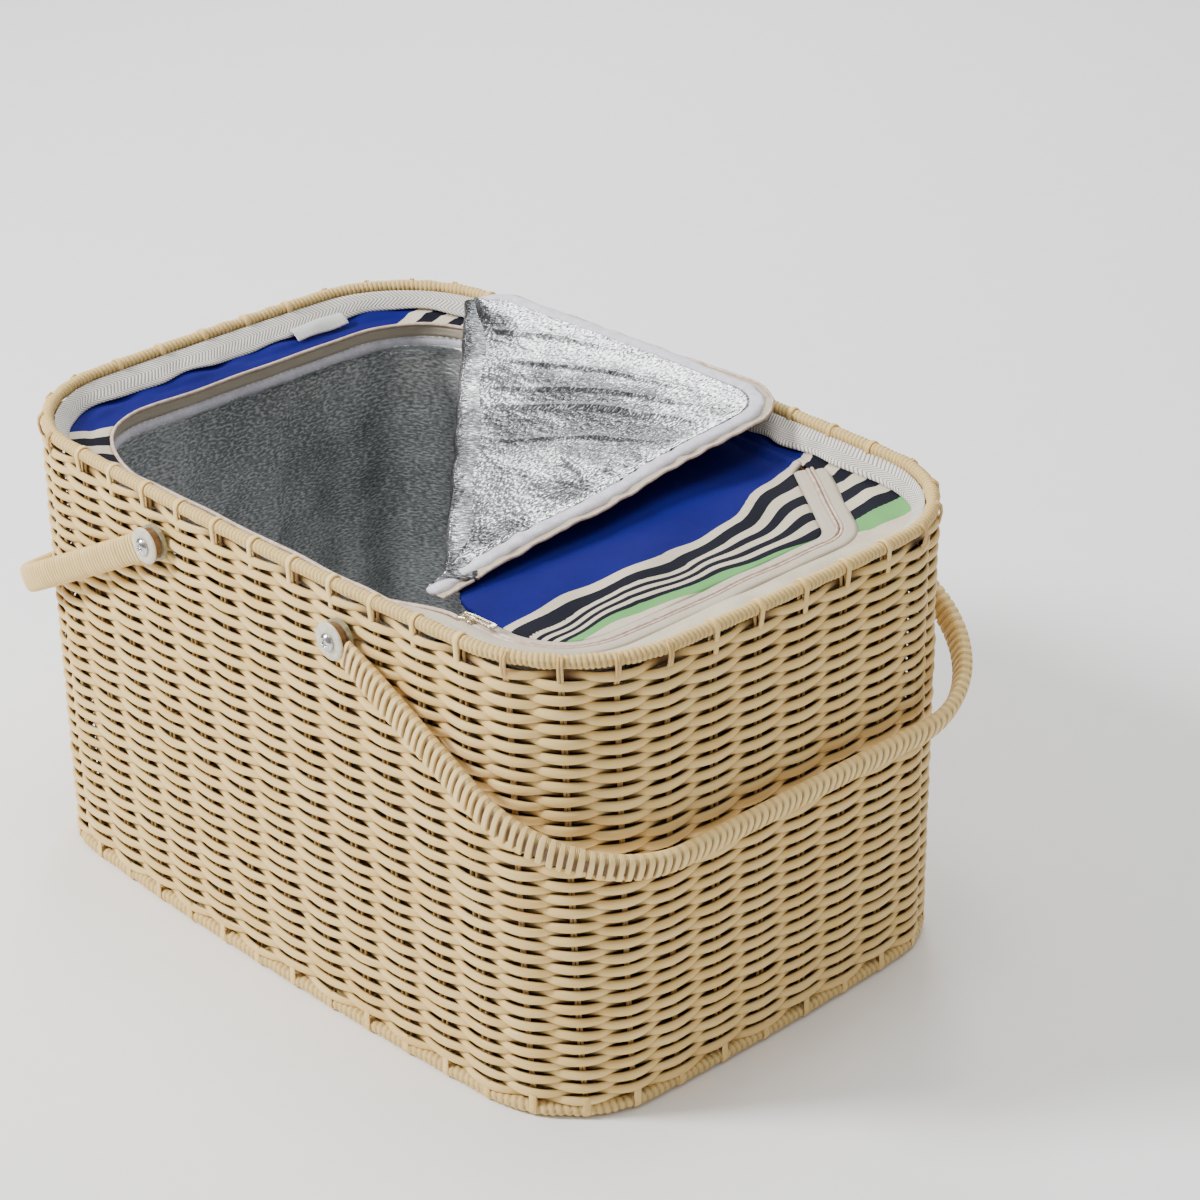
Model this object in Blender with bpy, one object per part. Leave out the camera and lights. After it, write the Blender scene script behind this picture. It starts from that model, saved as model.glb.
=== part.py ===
"""Picnic basket of woven cane with two swing handles and a zipped cooler liner.

Units are metres. +X points to the right-hand end, -Y to the near long side and +Z up.
The origin is the centre of the base, on the surface that the basket stands on.
"""

import math

import bmesh
import bpy
from mathutils import Matrix, Vector

GAP = 0.0003

# Plan outlines: half length, half width and corner radius of the middle of the cane.
RIM_PLAN = (0.2340, 0.1510, 0.0660)
BASE_PLAN = (0.2275, 0.1495, 0.0520)
LINER_PLAN = (0.2220, 0.1440, 0.0550)
LONG_BOW = 0.0092
END_BOW = 0.0058

# Heights.
RIM_HEIGHT = 0.2680
WALL_TOP = 0.2560
WALL_BOTTOM = 0.0090
LID_HEIGHT = 0.2500

# Cane and wire.
STAKE_COUNT = 48
STAKE_RADIUS = 0.0014
WIRE_SIDES = 5
RIM_RADIUS = 0.0038
FRAME_WIRE_RADIUS = 0.0018
BASE_RADIUS = 0.0042
BASE_RING_HEIGHT = 0.0039
WALL_THICKNESS = 0.0080
WALL_LEVELS = (WALL_BOTTOM, 0.0300, 0.1100, WALL_TOP)
WRAP_SLOT = math.radians(124)
BASE_PANEL_THICKNESS = 0.0060

# Liner layers, from the outside in.
SHELL_THICKNESS = 0.0010
FOAM_THICKNESS = 0.0040
FOIL_THICKNESS = 0.0010
LINER_FLOOR = 0.0095
LINER_TOP = LID_HEIGHT - 0.0055
MARGIN_REACH = 0.0010

# Zip line seen from above, as corners with their radii, from the far left to the far right.
ZIP_CORNERS = (
    (-0.1480, 0.1350, 0.0),
    (-0.2010, 0.1350, 0.0520),
    (-0.2010, -0.1220, 0.0450),
    (0.1960, -0.1220, 0.0450),
    (0.1960, 0.0850, 0.0250),
    (0.1240, 0.1350, 0.0),
)
# The flap is narrower at the left, so that it clears the handles while it lies folded back.
FLAP_CORNERS = (
    (-0.1480, 0.1350, 0.0),
    (-0.1835, 0.1350, 0.0345),
    (-0.1835, -0.1220, 0.0450),
    (0.1960, -0.1220, 0.0450),
    (0.1960, 0.0850, 0.0),
)
TAPE_WIDTH = 0.0080
TAPE_THICKNESS = 0.0012
FABRIC_THICKNESS = 0.0016
RIM_TAPE_THICKNESS = 0.0020
ZIP_HALF_GAP = 0.0010
BINDING_HEIGHT = 0.0043
MARGIN_HEIGHT = LID_HEIGHT + TAPE_THICKNESS + GAP
MARGIN_SETBACK = 0.0025

# Lid flap: it folds back about the line from CREASE_FAR to CREASE_NEAR.
CREASE_FAR = Vector((-0.1575, 0.1325, 0.2785))
CREASE_NEAR = Vector((0.1085, -0.1215, 0.2550))
FOLD_WIDTH = 0.0050
TURN_UP_OFFSET = 0.0080
FLAP_CORNER = Vector((-0.1600, -0.1170, 0.2520))
FLAP_FOLD = math.radians(181.5)
FLAP_THICKNESS = 0.0036
FLAP_BINDING_THICKNESS = 0.0044
FLAP_BINDING_WIDTH = 0.0075
FLAP_EDGE_INSET = 0.0055
FLAP_TAPE_WIDTH = 0.0056

# Handles: flat wrapped bails on bolts through the long sides. Each droops until it meets its end wall.
PIVOT_X = 0.0780
PIVOT_Z = 0.2420
EYE_Y = 0.1683
HANDLE_REACH = 0.1945
HANDLE_CORNER = 0.0800
HANDLE_STEPS = 8
HANDLE_DROOPS = {-1: math.radians(27.8), 1: math.radians(26.2)}
CORE_SIZE = (0.0045, 0.0120)
CORE_CLEARANCE = 0.0005
WRAP_SIZE = (0.0090, 0.0170)
WRAP_START = 0.0150
EYE_RADIUS = 0.0090

# Pivot hardware.
BOLT_RADIUS = 0.0024
BOLT_HOLE_RADIUS = 0.0028
WASHER_RADIUS = 0.0105
WASHER_HOLE_RADIUS = 0.0027
WASHER_THICKNESS = 0.0015
NUT_RADIUS = 0.0046
NUT_LENGTH = 0.0045
HEAD_RADIUS = 0.0050
HEAD_HEIGHT = 0.0028
HEAD_EDGE = 0.55
BOLT_END = 0.0005
WASHER_SIDES = 14
OUTER_CLEARANCE = 0.0004
INNER_CLEARANCE = 0.0008

# Zip slider.
SLIDER_X = 0.1290
SLIDER_SIZE = (0.0110, 0.0080, 0.0040)
PULL_SIZE = (0.0240, 0.0060, 0.0012)

# Blank woven tab on the left margin.
LABEL_CORNER = (-0.2186, 0.0420)
LABEL_SIZE = (0.0080, 0.0380, 0.0008)

CANE = (0.80, 0.68, 0.45, 1.0)
WIRE = (0.72, 0.60, 0.38, 1.0)
STEEL = (0.75, 0.75, 0.76, 1.0)
CLEAR_PLASTIC = (0.72, 0.70, 0.62, 1.0)
BLUE = (0.02, 0.04, 0.32, 1.0)
CREAM = (0.76, 0.69, 0.58, 1.0)
FOAM_WHITE = (0.85, 0.85, 0.84, 1.0)
FOIL_SILVER = (0.62, 0.63, 0.65, 1.0)
FLEECE = (0.86, 0.86, 0.90, 1.0)


def clear_scene():
    for obj in list(bpy.data.objects):
        bpy.data.objects.remove(obj, do_unlink=True)


def material(name, colour, roughness, metallic=0.0):
    """A Principled material, made once for each name."""
    found = bpy.data.materials.get(name)
    if found:
        return found
    made = bpy.data.materials.new(name)
    made.use_nodes = True
    shader = made.node_tree.nodes["Principled BSDF"]
    shader.inputs["Base Color"].default_value = colour
    shader.inputs["Roughness"].default_value = roughness
    shader.inputs["Metallic"].default_value = metallic
    return made


def add_object(name, mesh, surface):
    obj = bpy.data.objects.new(name, mesh)
    bpy.context.scene.collection.objects.link(obj)
    mesh.materials.append(surface)
    return obj


def skin(name, rows, surface, ring=False, smooth=True):
    """Joins closed rows of points into one solid; a ring joins its last row to its first."""
    shape = bmesh.new()
    made = [[shape.verts.new(point) for point in row] for row in rows]
    pairs = list(zip(made, made[1:]))
    if ring:
        pairs.append((made[-1], made[0]))
    for row, other in pairs:
        for i in range(len(row)):
            j = (i + 1) % len(row)
            shape.faces.new((row[i], row[j], other[j], other[i]))
    if not ring:
        shape.faces.new(made[0])
        shape.faces.new(made[-1])
    return finish(name, shape, surface, smooth)


def finish(name, shape, surface, smooth):
    bmesh.ops.recalc_face_normals(shape, faces=shape.faces)
    mesh = bpy.data.meshes.new(name)
    shape.to_mesh(mesh)
    shape.free()
    if smooth:
        mesh.shade_smooth()
        mesh.set_sharp_from_angle(angle=math.radians(40))
    return add_object(name, mesh, surface)


def boolean(obj, cutter, operation="DIFFERENCE"):
    """Applies one exact Boolean and removes the cutter."""
    step = obj.modifiers.new(operation.lower(), "BOOLEAN")
    step.operation = operation
    step.object = cutter
    step.solver = "EXACT"
    graph = bpy.context.evaluated_depsgraph_get()
    mesh = bpy.data.meshes.new_from_object(obj.evaluated_get(graph))
    obj.modifiers.clear()
    obj.data = mesh
    bpy.data.objects.remove(cutter, do_unlink=True)
    return obj


# ---------------------------------------------------------------- plan outlines


def rounded_rectangle(half_x, half_y, radius, corner_steps=8, long_steps=6, end_steps=4):
    """Points counter-clockwise round a rectangle with round corners, from the right end."""
    points = []
    side_steps = (end_steps, long_steps, end_steps, long_steps)
    centres = ((1, 1), (-1, 1), (-1, -1), (1, -1))
    for quarter, (sign_x, sign_y) in enumerate(centres):
        centre = Vector((sign_x * (half_x - radius), sign_y * (half_y - radius)))
        start = quarter * math.pi / 2
        arc = []
        for i in range(corner_steps + 1):
            angle = start + i * math.pi / 2 / corner_steps
            arc.append(centre + radius * Vector((math.cos(angle), math.sin(angle))))
        if points:
            points += straight(points[-1], arc[0], side_steps[quarter])
        points += arc
    return points + straight(points[-1], points[0], side_steps[0])


def straight(start, end, steps):
    """The points between two ends, without the ends."""
    return [start.lerp(end, i / steps) for i in range(1, steps)]


def bowed(points, half_x, half_y):
    """Pushes the middle of each side outwards."""
    out = []
    for p in points:
        x = p.x + p.x / half_x * END_BOW * (1 - (p.y / half_y) ** 2)
        y = p.y + p.y / half_y * LONG_BOW * (1 - (p.x / half_x) ** 2)
        out.append(Vector((x, y)))
    return out


def offset(points, distance, closed=True):
    """Moves a counter-clockwise outline outwards along its normals."""
    out = []
    count = len(points)
    for i, p in enumerate(points):
        before = points[i - 1] if closed or i else p
        after = points[(i + 1) % count] if closed or i + 1 < count else p
        along = (after - before).normalized()
        out.append(p + distance * Vector((along.y, -along.x)))
    return out


def plan_at(height, inset=0.0, **steps):
    """The middle line of the wall at a height, moved inwards by inset."""
    share = min(max(height / RIM_HEIGHT, 0.0), 1.0) ** 0.6
    sizes = [low + (high - low) * share for low, high in zip(BASE_PLAN, RIM_PLAN)]
    outline = rounded_rectangle(*sizes, **steps)
    return offset(bowed(outline, sizes[0], sizes[1]), -inset)


def raised(points, height):
    return [Vector((p.x, p.y, height)) for p in points]


def resampled(points, count):
    """The same closed outline with evenly spaced points."""
    loop = points + [points[0]]
    lengths = [0.0]
    for a, b in zip(loop, loop[1:]):
        lengths.append(lengths[-1] + (b - a).length)
    out = []
    index = 0
    for i in range(count):
        target = lengths[-1] * i / count
        while index < len(loop) - 2 and lengths[index + 1] < target:
            index += 1
        span = lengths[index + 1] - lengths[index]
        out.append(loop[index].lerp(loop[index + 1], (target - lengths[index]) / span))
    return out


# ---------------------------------------------------------------- cane


def tube_ring(name, path, height, radius, sides, surface):
    """A round tube that closes on itself along a plan outline."""
    rows = []
    for i in range(sides):
        angle = 2 * math.pi * (i + 0.5) / sides
        loop = offset(path, radius * math.cos(angle))
        rows.append(raised(loop, height + radius * math.sin(angle)))
    return skin(name, rows, surface, ring=True)


def slotted_ring(name, height, outer, slot_up, surface):
    """A tube round the frame wire, with a slot along its top or bottom, where the stakes come in."""
    path = plan_at(height)
    inner = FRAME_WIRE_RADIUS + GAP
    half_slot = WRAP_SLOT / 2
    middle = math.pi / 2 if slot_up else -math.pi / 2
    turns = [middle + half_slot + i * (2 * math.pi - 2 * half_slot) / 5 for i in range(6)]
    rows = []
    for radius, angles in ((outer, turns), (inner, list(reversed(turns)))):
        for angle in angles:
            loop = offset(path, radius * math.cos(angle))
            rows.append(raised(loop, height + radius * math.sin(angle)))
    return skin(name, rows, surface, ring=True)


def stake_points():
    """Where each stake stands, at its foot and at its head."""
    feet = resampled(plan_at(BASE_RING_HEIGHT), STAKE_COUNT)
    heads = resampled(plan_at(RIM_HEIGHT), STAKE_COUNT)
    return zip(feet, heads)


def stake(name, foot, head, radius, low, high, surface):
    """One upright, from one height to another along the line foot to head."""
    rows = []
    for height in (low, high):
        share = (height - BASE_RING_HEIGHT) / (RIM_HEIGHT - BASE_RING_HEIGHT)
        centre = foot.lerp(head, share)
        ring = []
        for i in range(WIRE_SIDES):
            angle = 2 * math.pi * i / WIRE_SIDES
            ring.append(centre + radius * Vector((math.cos(angle), math.sin(angle))))
        rows.append(raised(ring, height))
    return skin(name, rows, surface)


def joined(name, pieces):
    """Many separate solids as one mesh, for use as a cutter or a Boolean partner."""
    shape = bmesh.new()
    for piece in pieces:
        shape.from_mesh(piece.data)
        bpy.data.objects.remove(piece, do_unlink=True)
    mesh = bpy.data.meshes.new(name)
    shape.to_mesh(mesh)
    shape.free()
    obj = bpy.data.objects.new(name, mesh)
    bpy.context.scene.collection.objects.link(obj)
    return obj


def stakes(name, radius, low, high, surface):
    pieces = []
    for index, (foot, head) in enumerate(stake_points()):
        pieces.append(stake(f"{name}_{index}", foot, head, radius, low, high, surface))
    return joined(name, pieces)


def pivot_places():
    """Each pivot's name and its signs along X and Y."""
    for end, sign_x in (("left", -1), ("right", 1)):
        for side, sign_y in (("near", -1), ("far", 1)):
            yield f"{end}_{side}", sign_x, sign_y


def cylinder(name, radius, start, end, surface, sides=16):
    """A round bar between two points on a line along Y."""
    rows = turned(start.x, start.z, ((start.y, radius), (end.y, radius)), sides)
    return skin(name, rows, surface)


def turned(x, z, profile, sides):
    """Rings about an axis along Y, from (Y, radius) pairs."""
    rows = []
    for y, radius in profile:
        ring = []
        for i in range(sides):
            angle = 2 * math.pi * i / sides
            ring.append(Vector((x + radius * math.cos(angle), y, z + radius * math.sin(angle))))
        rows.append(ring)
    return rows


def make_wall(surface):
    """The woven side wall, with a channel for each stake and a hole for each pivot bolt."""
    half = WALL_THICKNESS / 2
    rows = [raised(plan_at(z, -half), z) for z in WALL_LEVELS]
    rows += [raised(plan_at(z, half), z) for z in reversed(WALL_LEVELS)]
    wall = skin("wicker_wall", rows, surface, ring=True)
    past = WALL_THICKNESS / 4
    channels = stakes("channels", STAKE_RADIUS + GAP, WALL_BOTTOM - past, WALL_TOP + past, surface)
    boolean(wall, channels)
    holes = []
    for name, sign_x, sign_y in pivot_places():
        inner = Vector((sign_x * PIVOT_X, sign_y * (RIM_PLAN[1] - WALL_THICKNESS), PIVOT_Z))
        outer = Vector((sign_x * PIVOT_X, sign_y * (RIM_PLAN[1] + 3 * WALL_THICKNESS), PIVOT_Z))
        holes.append(cylinder(name, BOLT_HOLE_RADIUS, inner, outer, surface, sides=12))
    return boolean(wall, joined("holes", holes))


def make_frame(surface):
    """The wire frame inside the cane: a rim wire, a base wire and the stakes between them."""
    frame = frame_ring("stake_frame", RIM_HEIGHT, surface)
    boolean(frame, stakes("uprights", STAKE_RADIUS, BASE_RING_HEIGHT, RIM_HEIGHT, surface), "UNION")
    return boolean(frame, frame_ring("base_wire", BASE_RING_HEIGHT, surface), "UNION")


def frame_ring(name, height, surface):
    return tube_ring(name, plan_at(height), height, FRAME_WIRE_RADIUS, WIRE_SIDES, surface)


def make_base_panel(surface):
    """The woven floor, inside the base border."""
    inset = BASE_RADIUS + GAP
    path = plan_at(BASE_RING_HEIGHT, inset, corner_steps=5, long_steps=3, end_steps=2)
    rows = [raised(path, 0.0), raised(path, BASE_PANEL_THICKNESS)]
    return skin("base_panel", rows, surface)


def make_cane():
    cane = material("cane", CANE, 0.55)
    wire = material("wire", WIRE, 0.6)
    slotted_ring("rim_wrap", RIM_HEIGHT, RIM_RADIUS, False, cane)
    slotted_ring("base_wrap", BASE_RING_HEIGHT, BASE_RADIUS, True, cane)
    make_frame(wire)
    make_wall(cane)
    make_base_panel(cane)


# ---------------------------------------------------------------- liner


def liner_loop(inset, corner_steps=5, long_steps=1, end_steps=1):
    half_x, half_y, radius = LINER_PLAN
    steps = (corner_steps, long_steps, end_steps)
    return rounded_rectangle(half_x - inset, half_y - inset, radius - inset, *steps)


def tub(name, inset, thickness, surface):
    """An open box with round corners and one wall thickness, nested in the liner by its inset."""
    outer = liner_loop(inset)
    inner = liner_loop(inset + thickness)
    floor = LINER_FLOOR + inset
    rows = [
        raised(outer, floor),
        raised(outer, LINER_TOP),
        raised(inner, LINER_TOP),
        raised(inner, floor + thickness),
    ]
    return skin(name, rows, surface)


def zip_line(shift=0.0):
    """The zip from its far left end round the left, near and right sides, moved outwards."""
    return offset(rounded(ZIP_CORNERS), shift, closed=False)


def rounded(corners):
    """An open outline through corners, each given as X, Y and radius."""
    points = []
    for i, (x, y, radius) in enumerate(corners):
        corner = Vector((x, y))
        if not radius:
            points.append(corner)
            continue
        before = (Vector(corners[i - 1][:2]) - corner).normalized()
        after = (Vector(corners[i + 1][:2]) - corner).normalized()
        half_angle = before.angle(after) / 2
        centre = corner + (before + after).normalized() * radius / math.sin(half_angle)
        start = corner + before * radius / math.tan(half_angle) - centre
        turn = math.pi - 2 * half_angle
        steps = max(2, round(turn / math.radians(15)))
        for step in range(steps + 1):
            points.append(centre + Matrix.Rotation(turn * step / steps, 2) @ start)
    return points


def band_along(name, inner, outer, low, high, surface):
    """A flat strip between two open outlines with as many points each."""
    rows = []
    for a, b in zip(inner, outer):
        rows.append(raised([a, b], low) + raised([b, a], high))
    return skin(name, rows, surface, smooth=False)


def make_liner():
    fabric = material("liner_fabric", BLUE, 0.8)
    foam = material("foam", FOAM_WHITE, 0.9)
    foil = material("foil", FOIL_SILVER, 0.3, 0.9)
    tape = material("binding_tape", CREAM, 0.85)
    foam_inset = SHELL_THICKNESS + GAP
    foil_inset = foam_inset + FOAM_THICKNESS + GAP
    tub("liner_shell", 0, SHELL_THICKNESS, fabric)
    tub("liner_foam", foam_inset, FOAM_THICKNESS, foam)
    tub("liner_foil", foil_inset, FOIL_THICKNESS, foil)
    make_margin(fabric)
    make_rim_tape(tape)


def make_margin(fabric):
    """The fixed strip of lid fabric round the zip."""
    low = MARGIN_HEIGHT
    high = MARGIN_HEIGHT + FABRIC_THICKNESS
    seam_y = ZIP_CORNERS[0][1] + MARGIN_REACH
    hole = [Vector((p.x, min(p.y, seam_y))) for p in zip_line(MARGIN_SETBACK)]
    edge = liner_loop(-MARGIN_REACH)
    margin = skin("lid_margin", [raised(edge, low), raised(edge, high)], fabric, smooth=False)
    past = FABRIC_THICKNESS * 4
    boolean(margin, skin("hole", [raised(hole, low - past), raised(hole, high + past)], fabric))


def make_rim_tape(tape):
    """The tape that ties the margin to the rim, sloping up from one to the other."""
    head = plan_at(RIM_HEIGHT, WALL_THICKNESS / 2 + GAP)
    foot = liner_loop(-MARGIN_REACH, corner_steps=8, long_steps=6, end_steps=4)
    foot_height = MARGIN_HEIGHT + FABRIC_THICKNESS + GAP
    head_height = RIM_HEIGHT - RIM_RADIUS
    rows = [
        raised(foot, foot_height),
        raised(head, head_height),
        raised(offset(head, -RIM_TAPE_THICKNESS), head_height),
        raised(offset(foot, -RIM_TAPE_THICKNESS), foot_height),
    ]
    skin("rim_tape", rows, tape, ring=True)


def make_zip():
    """The fixed half of the zip with the binding under it."""
    tape = material("zip_tape", CREAM, 0.8)
    fleece = material("fleece_binding", FLEECE, 0.95)
    inner = zip_line(ZIP_HALF_GAP)
    outer = zip_line(ZIP_HALF_GAP + TAPE_WIDTH)
    band_along("zip_tape_fixed", inner, outer, LID_HEIGHT, LID_HEIGHT + TAPE_THICKNESS, tape)
    top = LID_HEIGHT - GAP
    band_along("opening_binding", inner, outer, top - BINDING_HEIGHT, top, fleece)


def past_crease(point):
    """How far a plan point lies to the right of the crease."""
    along = (CREASE_NEAR - CREASE_FAR).to_2d().normalized()
    away = point - CREASE_FAR.to_2d()
    return along.x * away.y - along.y * away.x


def make_lid():
    """The lid to the right of the crease, which is zipped shut, with its edge turned up at the crease."""
    fabric = material("liner_fabric", BLUE, 0.8)
    make_lid_zip()
    seam_y = ZIP_CORNERS[0][1] - MARGIN_REACH / 2
    seam_end = CREASE_FAR.x + 2 * TURN_UP_OFFSET
    inner = zip_line(-ZIP_HALF_GAP - TAPE_WIDTH - GAP)
    edge = [p for p in inner if p.x > 0 and p.y < seam_y - FOLD_WIDTH]
    seam_start = edge[-1].x - 2 * MARGIN_REACH
    edge += [Vector((seam_start, seam_y)), Vector((seam_end, seam_y))]
    along = (CREASE_NEAR - CREASE_FAR).normalized()
    across = Vector((-along.y, along.x, 0))
    foot = [(end + across * TURN_UP_OFFSET).to_2d() for end in (CREASE_FAR, CREASE_NEAR)]
    foot[0].y = seam_y - MARGIN_REACH
    foot[1].y = edge[0].y
    outline = edge + foot
    rows = [raised(outline, LID_HEIGHT), raised(outline, LID_HEIGHT + FABRIC_THICKNESS)]
    lid = skin("lid_panel", rows, fabric, smooth=False)
    drop = Vector((0, 0, FLAP_THICKNESS + FABRIC_THICKNESS))
    turned_up = raised(foot, LID_HEIGHT)
    turned_up.append(CREASE_NEAR + across * FOLD_WIDTH - drop / 2)
    turned_up.append(CREASE_FAR + across * FOLD_WIDTH - drop)
    shift = across * FABRIC_THICKNESS
    web = skin("web", [turned_up, [p + shift for p in turned_up]], fabric, smooth=False)
    boolean(lid, web, "UNION")


def make_lid_zip():
    """The lid's half of the zip, from the slider round the right end to the far seam."""
    tape = material("zip_tape", CREAM, 0.8)
    inner = []
    outer = []
    for a, b in zip(zip_line(-ZIP_HALF_GAP - TAPE_WIDTH), zip_line(-ZIP_HALF_GAP)):
        if b.x > 0 and b.y < ZIP_CORNERS[0][1] - MARGIN_REACH / 2:
            inner.append(a)
            outer.append(b)
    start_x = SLIDER_X - SLIDER_SIZE[0] / 2
    inner.insert(0, Vector((start_x, inner[0].y)))
    outer.insert(0, Vector((start_x, outer[0].y)))
    band_along("zip_tape_lid", inner, outer, LID_HEIGHT, LID_HEIGHT + TAPE_THICKNESS, tape)


# ---------------------------------------------------------------- folded flap


def flap_axes():
    """The crease direction, the direction across the shut flap and their normal."""
    along = (CREASE_NEAR - CREASE_FAR).normalized()
    reach = FLAP_CORNER - CREASE_FAR
    across = (reach - reach.dot(along) * along).normalized()
    return along, across, along.cross(across).normalized()


def on_flap(point, lift):
    """A plan point put on the shut flap's plane, then folded back with the flap."""
    along, across, up = flap_axes()
    if up.z < 0:
        up = -up
    height = CREASE_FAR.z - ((point.x - CREASE_FAR.x) * up.x + (point.y - CREASE_FAR.y) * up.y) / up.z
    shut = Vector((point.x, point.y, height)) + lift * up
    turn = Matrix.Rotation(-FLAP_FOLD, 4, along)
    return CREASE_FAR + turn @ (shut - CREASE_FAR)


def flap_edge(inset):
    """The flap's free edge from the far end of the crease round to the near end."""
    line = rounded(FLAP_CORNERS)
    inner = offset(line, -inset, closed=False)
    points = [moved for p, moved in zip(line, inner) if past_crease(p) < -FOLD_WIDTH]
    y = points[-1].y
    share = (y - CREASE_FAR.y) / (CREASE_NEAR.y - CREASE_FAR.y)
    crease = CREASE_FAR.lerp(CREASE_NEAR, share)
    return points + [Vector((crease.x - FOLD_WIDTH * 1.5, y))]


def flap_strip(name, inner_inset, outer_inset, thickness, surface):
    rows = []
    half = thickness / 2
    for a, b in zip(flap_edge(inner_inset), flap_edge(outer_inset)):
        rows.append([on_flap(a, -half), on_flap(b, -half), on_flap(b, half), on_flap(a, half)])
    return skin(name, rows, surface, smooth=False)


def make_flap():
    """The unzipped left part of the lid, folded back over the far rim, foil side up."""
    tape_inner = FLAP_EDGE_INSET + FLAP_TAPE_WIDTH
    binding_inner = tape_inner + GAP + FLAP_BINDING_WIDTH
    tape = material("zip_tape", CREAM, 0.8)
    fleece = material("fleece_binding", FLEECE, 0.95)
    foil = material("foil", FOIL_SILVER, 0.3, 0.9)
    zip_half = flap_strip("flap_zip_tape", tape_inner, FLAP_EDGE_INSET, TAPE_THICKNESS, tape)
    binding = flap_strip("flap_binding", binding_inner, tape_inner + GAP, FLAP_BINDING_THICKNESS, fleece)
    outline = flap_edge(binding_inner + GAP)
    half = FLAP_THICKNESS / 2
    rows = [[on_flap(p, -half) for p in outline], [on_flap(p, half) for p in outline]]
    panel = skin("flap_panel", rows, foil, smooth=False)
    for piece in (zip_half, binding, panel):
        set_origin(piece, CREASE_FAR)


# ---------------------------------------------------------------- zip slider, label


def box(name, low, high, surface):
    rows = []
    for z in (low.z, high.z):
        corners = ((low.x, low.y), (high.x, low.y), (high.x, high.y), (low.x, high.y))
        rows.append([Vector((x, y, z)) for x, y in corners])
    return skin(name, rows, surface, smooth=False)


def make_slider():
    """The zip slider, and its pull, which turns about the slider's left end."""
    metal = material("zip_metal", STEEL, 0.35, 1.0)
    length, width, height = SLIDER_SIZE
    y = ZIP_CORNERS[2][1]
    base = MARGIN_HEIGHT + FABRIC_THICKNESS + GAP
    low = Vector((SLIDER_X - length / 2, y - width / 2, base))
    slider = box("zip_slider", low, low + Vector(SLIDER_SIZE), metal)
    set_origin(slider, Vector((SLIDER_X, y, base)))
    low = Vector((SLIDER_X - length / 4, y - PULL_SIZE[1] / 2, base + height + GAP))
    pull = box("zip_pull", low, low + Vector(PULL_SIZE), metal)
    set_origin(pull, Vector((low.x + PULL_SIZE[2] / 2, y, low.z + PULL_SIZE[2] / 2)))


def make_label(surface):
    low = Vector((*LABEL_CORNER, MARGIN_HEIGHT + FABRIC_THICKNESS + GAP))
    box("label_tab", low, low + Vector(LABEL_SIZE), surface)


# ---------------------------------------------------------------- handles


def handle_path(steps):
    """The bail's middle line in its own plane: reach from the pivot, and Y."""
    bend = Vector((HANDLE_REACH - HANDLE_CORNER, -EYE_Y + HANDLE_CORNER))
    points = [Vector((reach, -EYE_Y)) for reach in (0.0, bend.x / 2)]
    for i in range(steps + 1):
        angle = -math.pi / 2 + math.pi / 2 * i / steps
        points.append(bend + HANDLE_CORNER * Vector((math.cos(angle), math.sin(angle))))
    return points + [Vector((p.x, -p.y)) for p in reversed(points)]


def in_handle_frame(sign_x, reach, y, lift):
    """A point of a bail at rest, from its reach, its Y and its lift out of the bail's plane."""
    droop = HANDLE_DROOPS[sign_x]
    cos, sin = math.cos(droop), math.sin(droop)
    x = PIVOT_X + reach * cos + lift * sin
    return Vector((sign_x * x, y, PIVOT_Z - reach * sin + lift * cos))


def sweep(name, path, sign_x, section, surface):
    """A section carried along a bail; each section point is (outwards in the plane, lift)."""
    rows = []
    sides = offset(path, 1.0, closed=False)
    for p, q in zip(path, sides):
        out = q - p
        row = []
        for away, lift in section:
            place = p + out * away
            row.append(in_handle_frame(sign_x, place.x, place.y, lift))
        rows.append(row)
    return skin(name, rows, surface)


def oval(width, height, sides=8):
    """A flat oval, as a superellipse."""
    points = []
    for i in range(sides):
        angle = 2 * math.pi * (i + 0.5) / sides
        cos, sin = math.cos(angle), math.sin(angle)
        bulge = (cos**4 + sin**4) ** 0.25
        points.append((width / 2 * cos / bulge, height / 2 * sin / bulge))
    return points


def make_core(name, sign_x, surface):
    """The bar inside a bail, with a round eye at each end."""
    core = sweep(name, handle_path(HANDLE_STEPS), sign_x, oval(*CORE_SIZE, sides=6), surface)
    half = CORE_SIZE[0] / 2
    for sign_y in (-1, 1):
        inner = Vector((sign_x * PIVOT_X, sign_y * (EYE_Y - half), PIVOT_Z))
        outer = Vector((sign_x * PIVOT_X, sign_y * (EYE_Y + half), PIVOT_Z))
        boolean(core, cylinder("eye", EYE_RADIUS, inner, outer, surface), "UNION")
        inner.y -= sign_y * EYE_RADIUS
        outer.y += sign_y * EYE_RADIUS
        boolean(core, cylinder("eye_hole", BOLT_HOLE_RADIUS, inner, outer, surface, sides=12))
    return core


def make_wrap(name, sign_x, surface):
    """The cane wound round a bail, open at both ends."""
    path = handle_path(HANDLE_STEPS)
    path[0] = Vector((WRAP_START, path[0].y))
    path[-1] = Vector((WRAP_START, path[-1].y))
    wrap = sweep(name, path, sign_x, oval(*WRAP_SIZE), surface)
    path[0] = Vector((0.0, path[0].y))
    path[-1] = Vector((0.0, path[-1].y))
    clearance = [size + 2 * CORE_CLEARANCE for size in CORE_SIZE]
    bore = sweep("bore", path, sign_x, oval(*clearance, sides=6), surface)
    return boolean(wrap, bore)


def set_origin(obj, place):
    """Moves an object's origin without moving its shape."""
    obj.data.transform(Matrix.Translation(-place))
    obj.location = place


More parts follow.
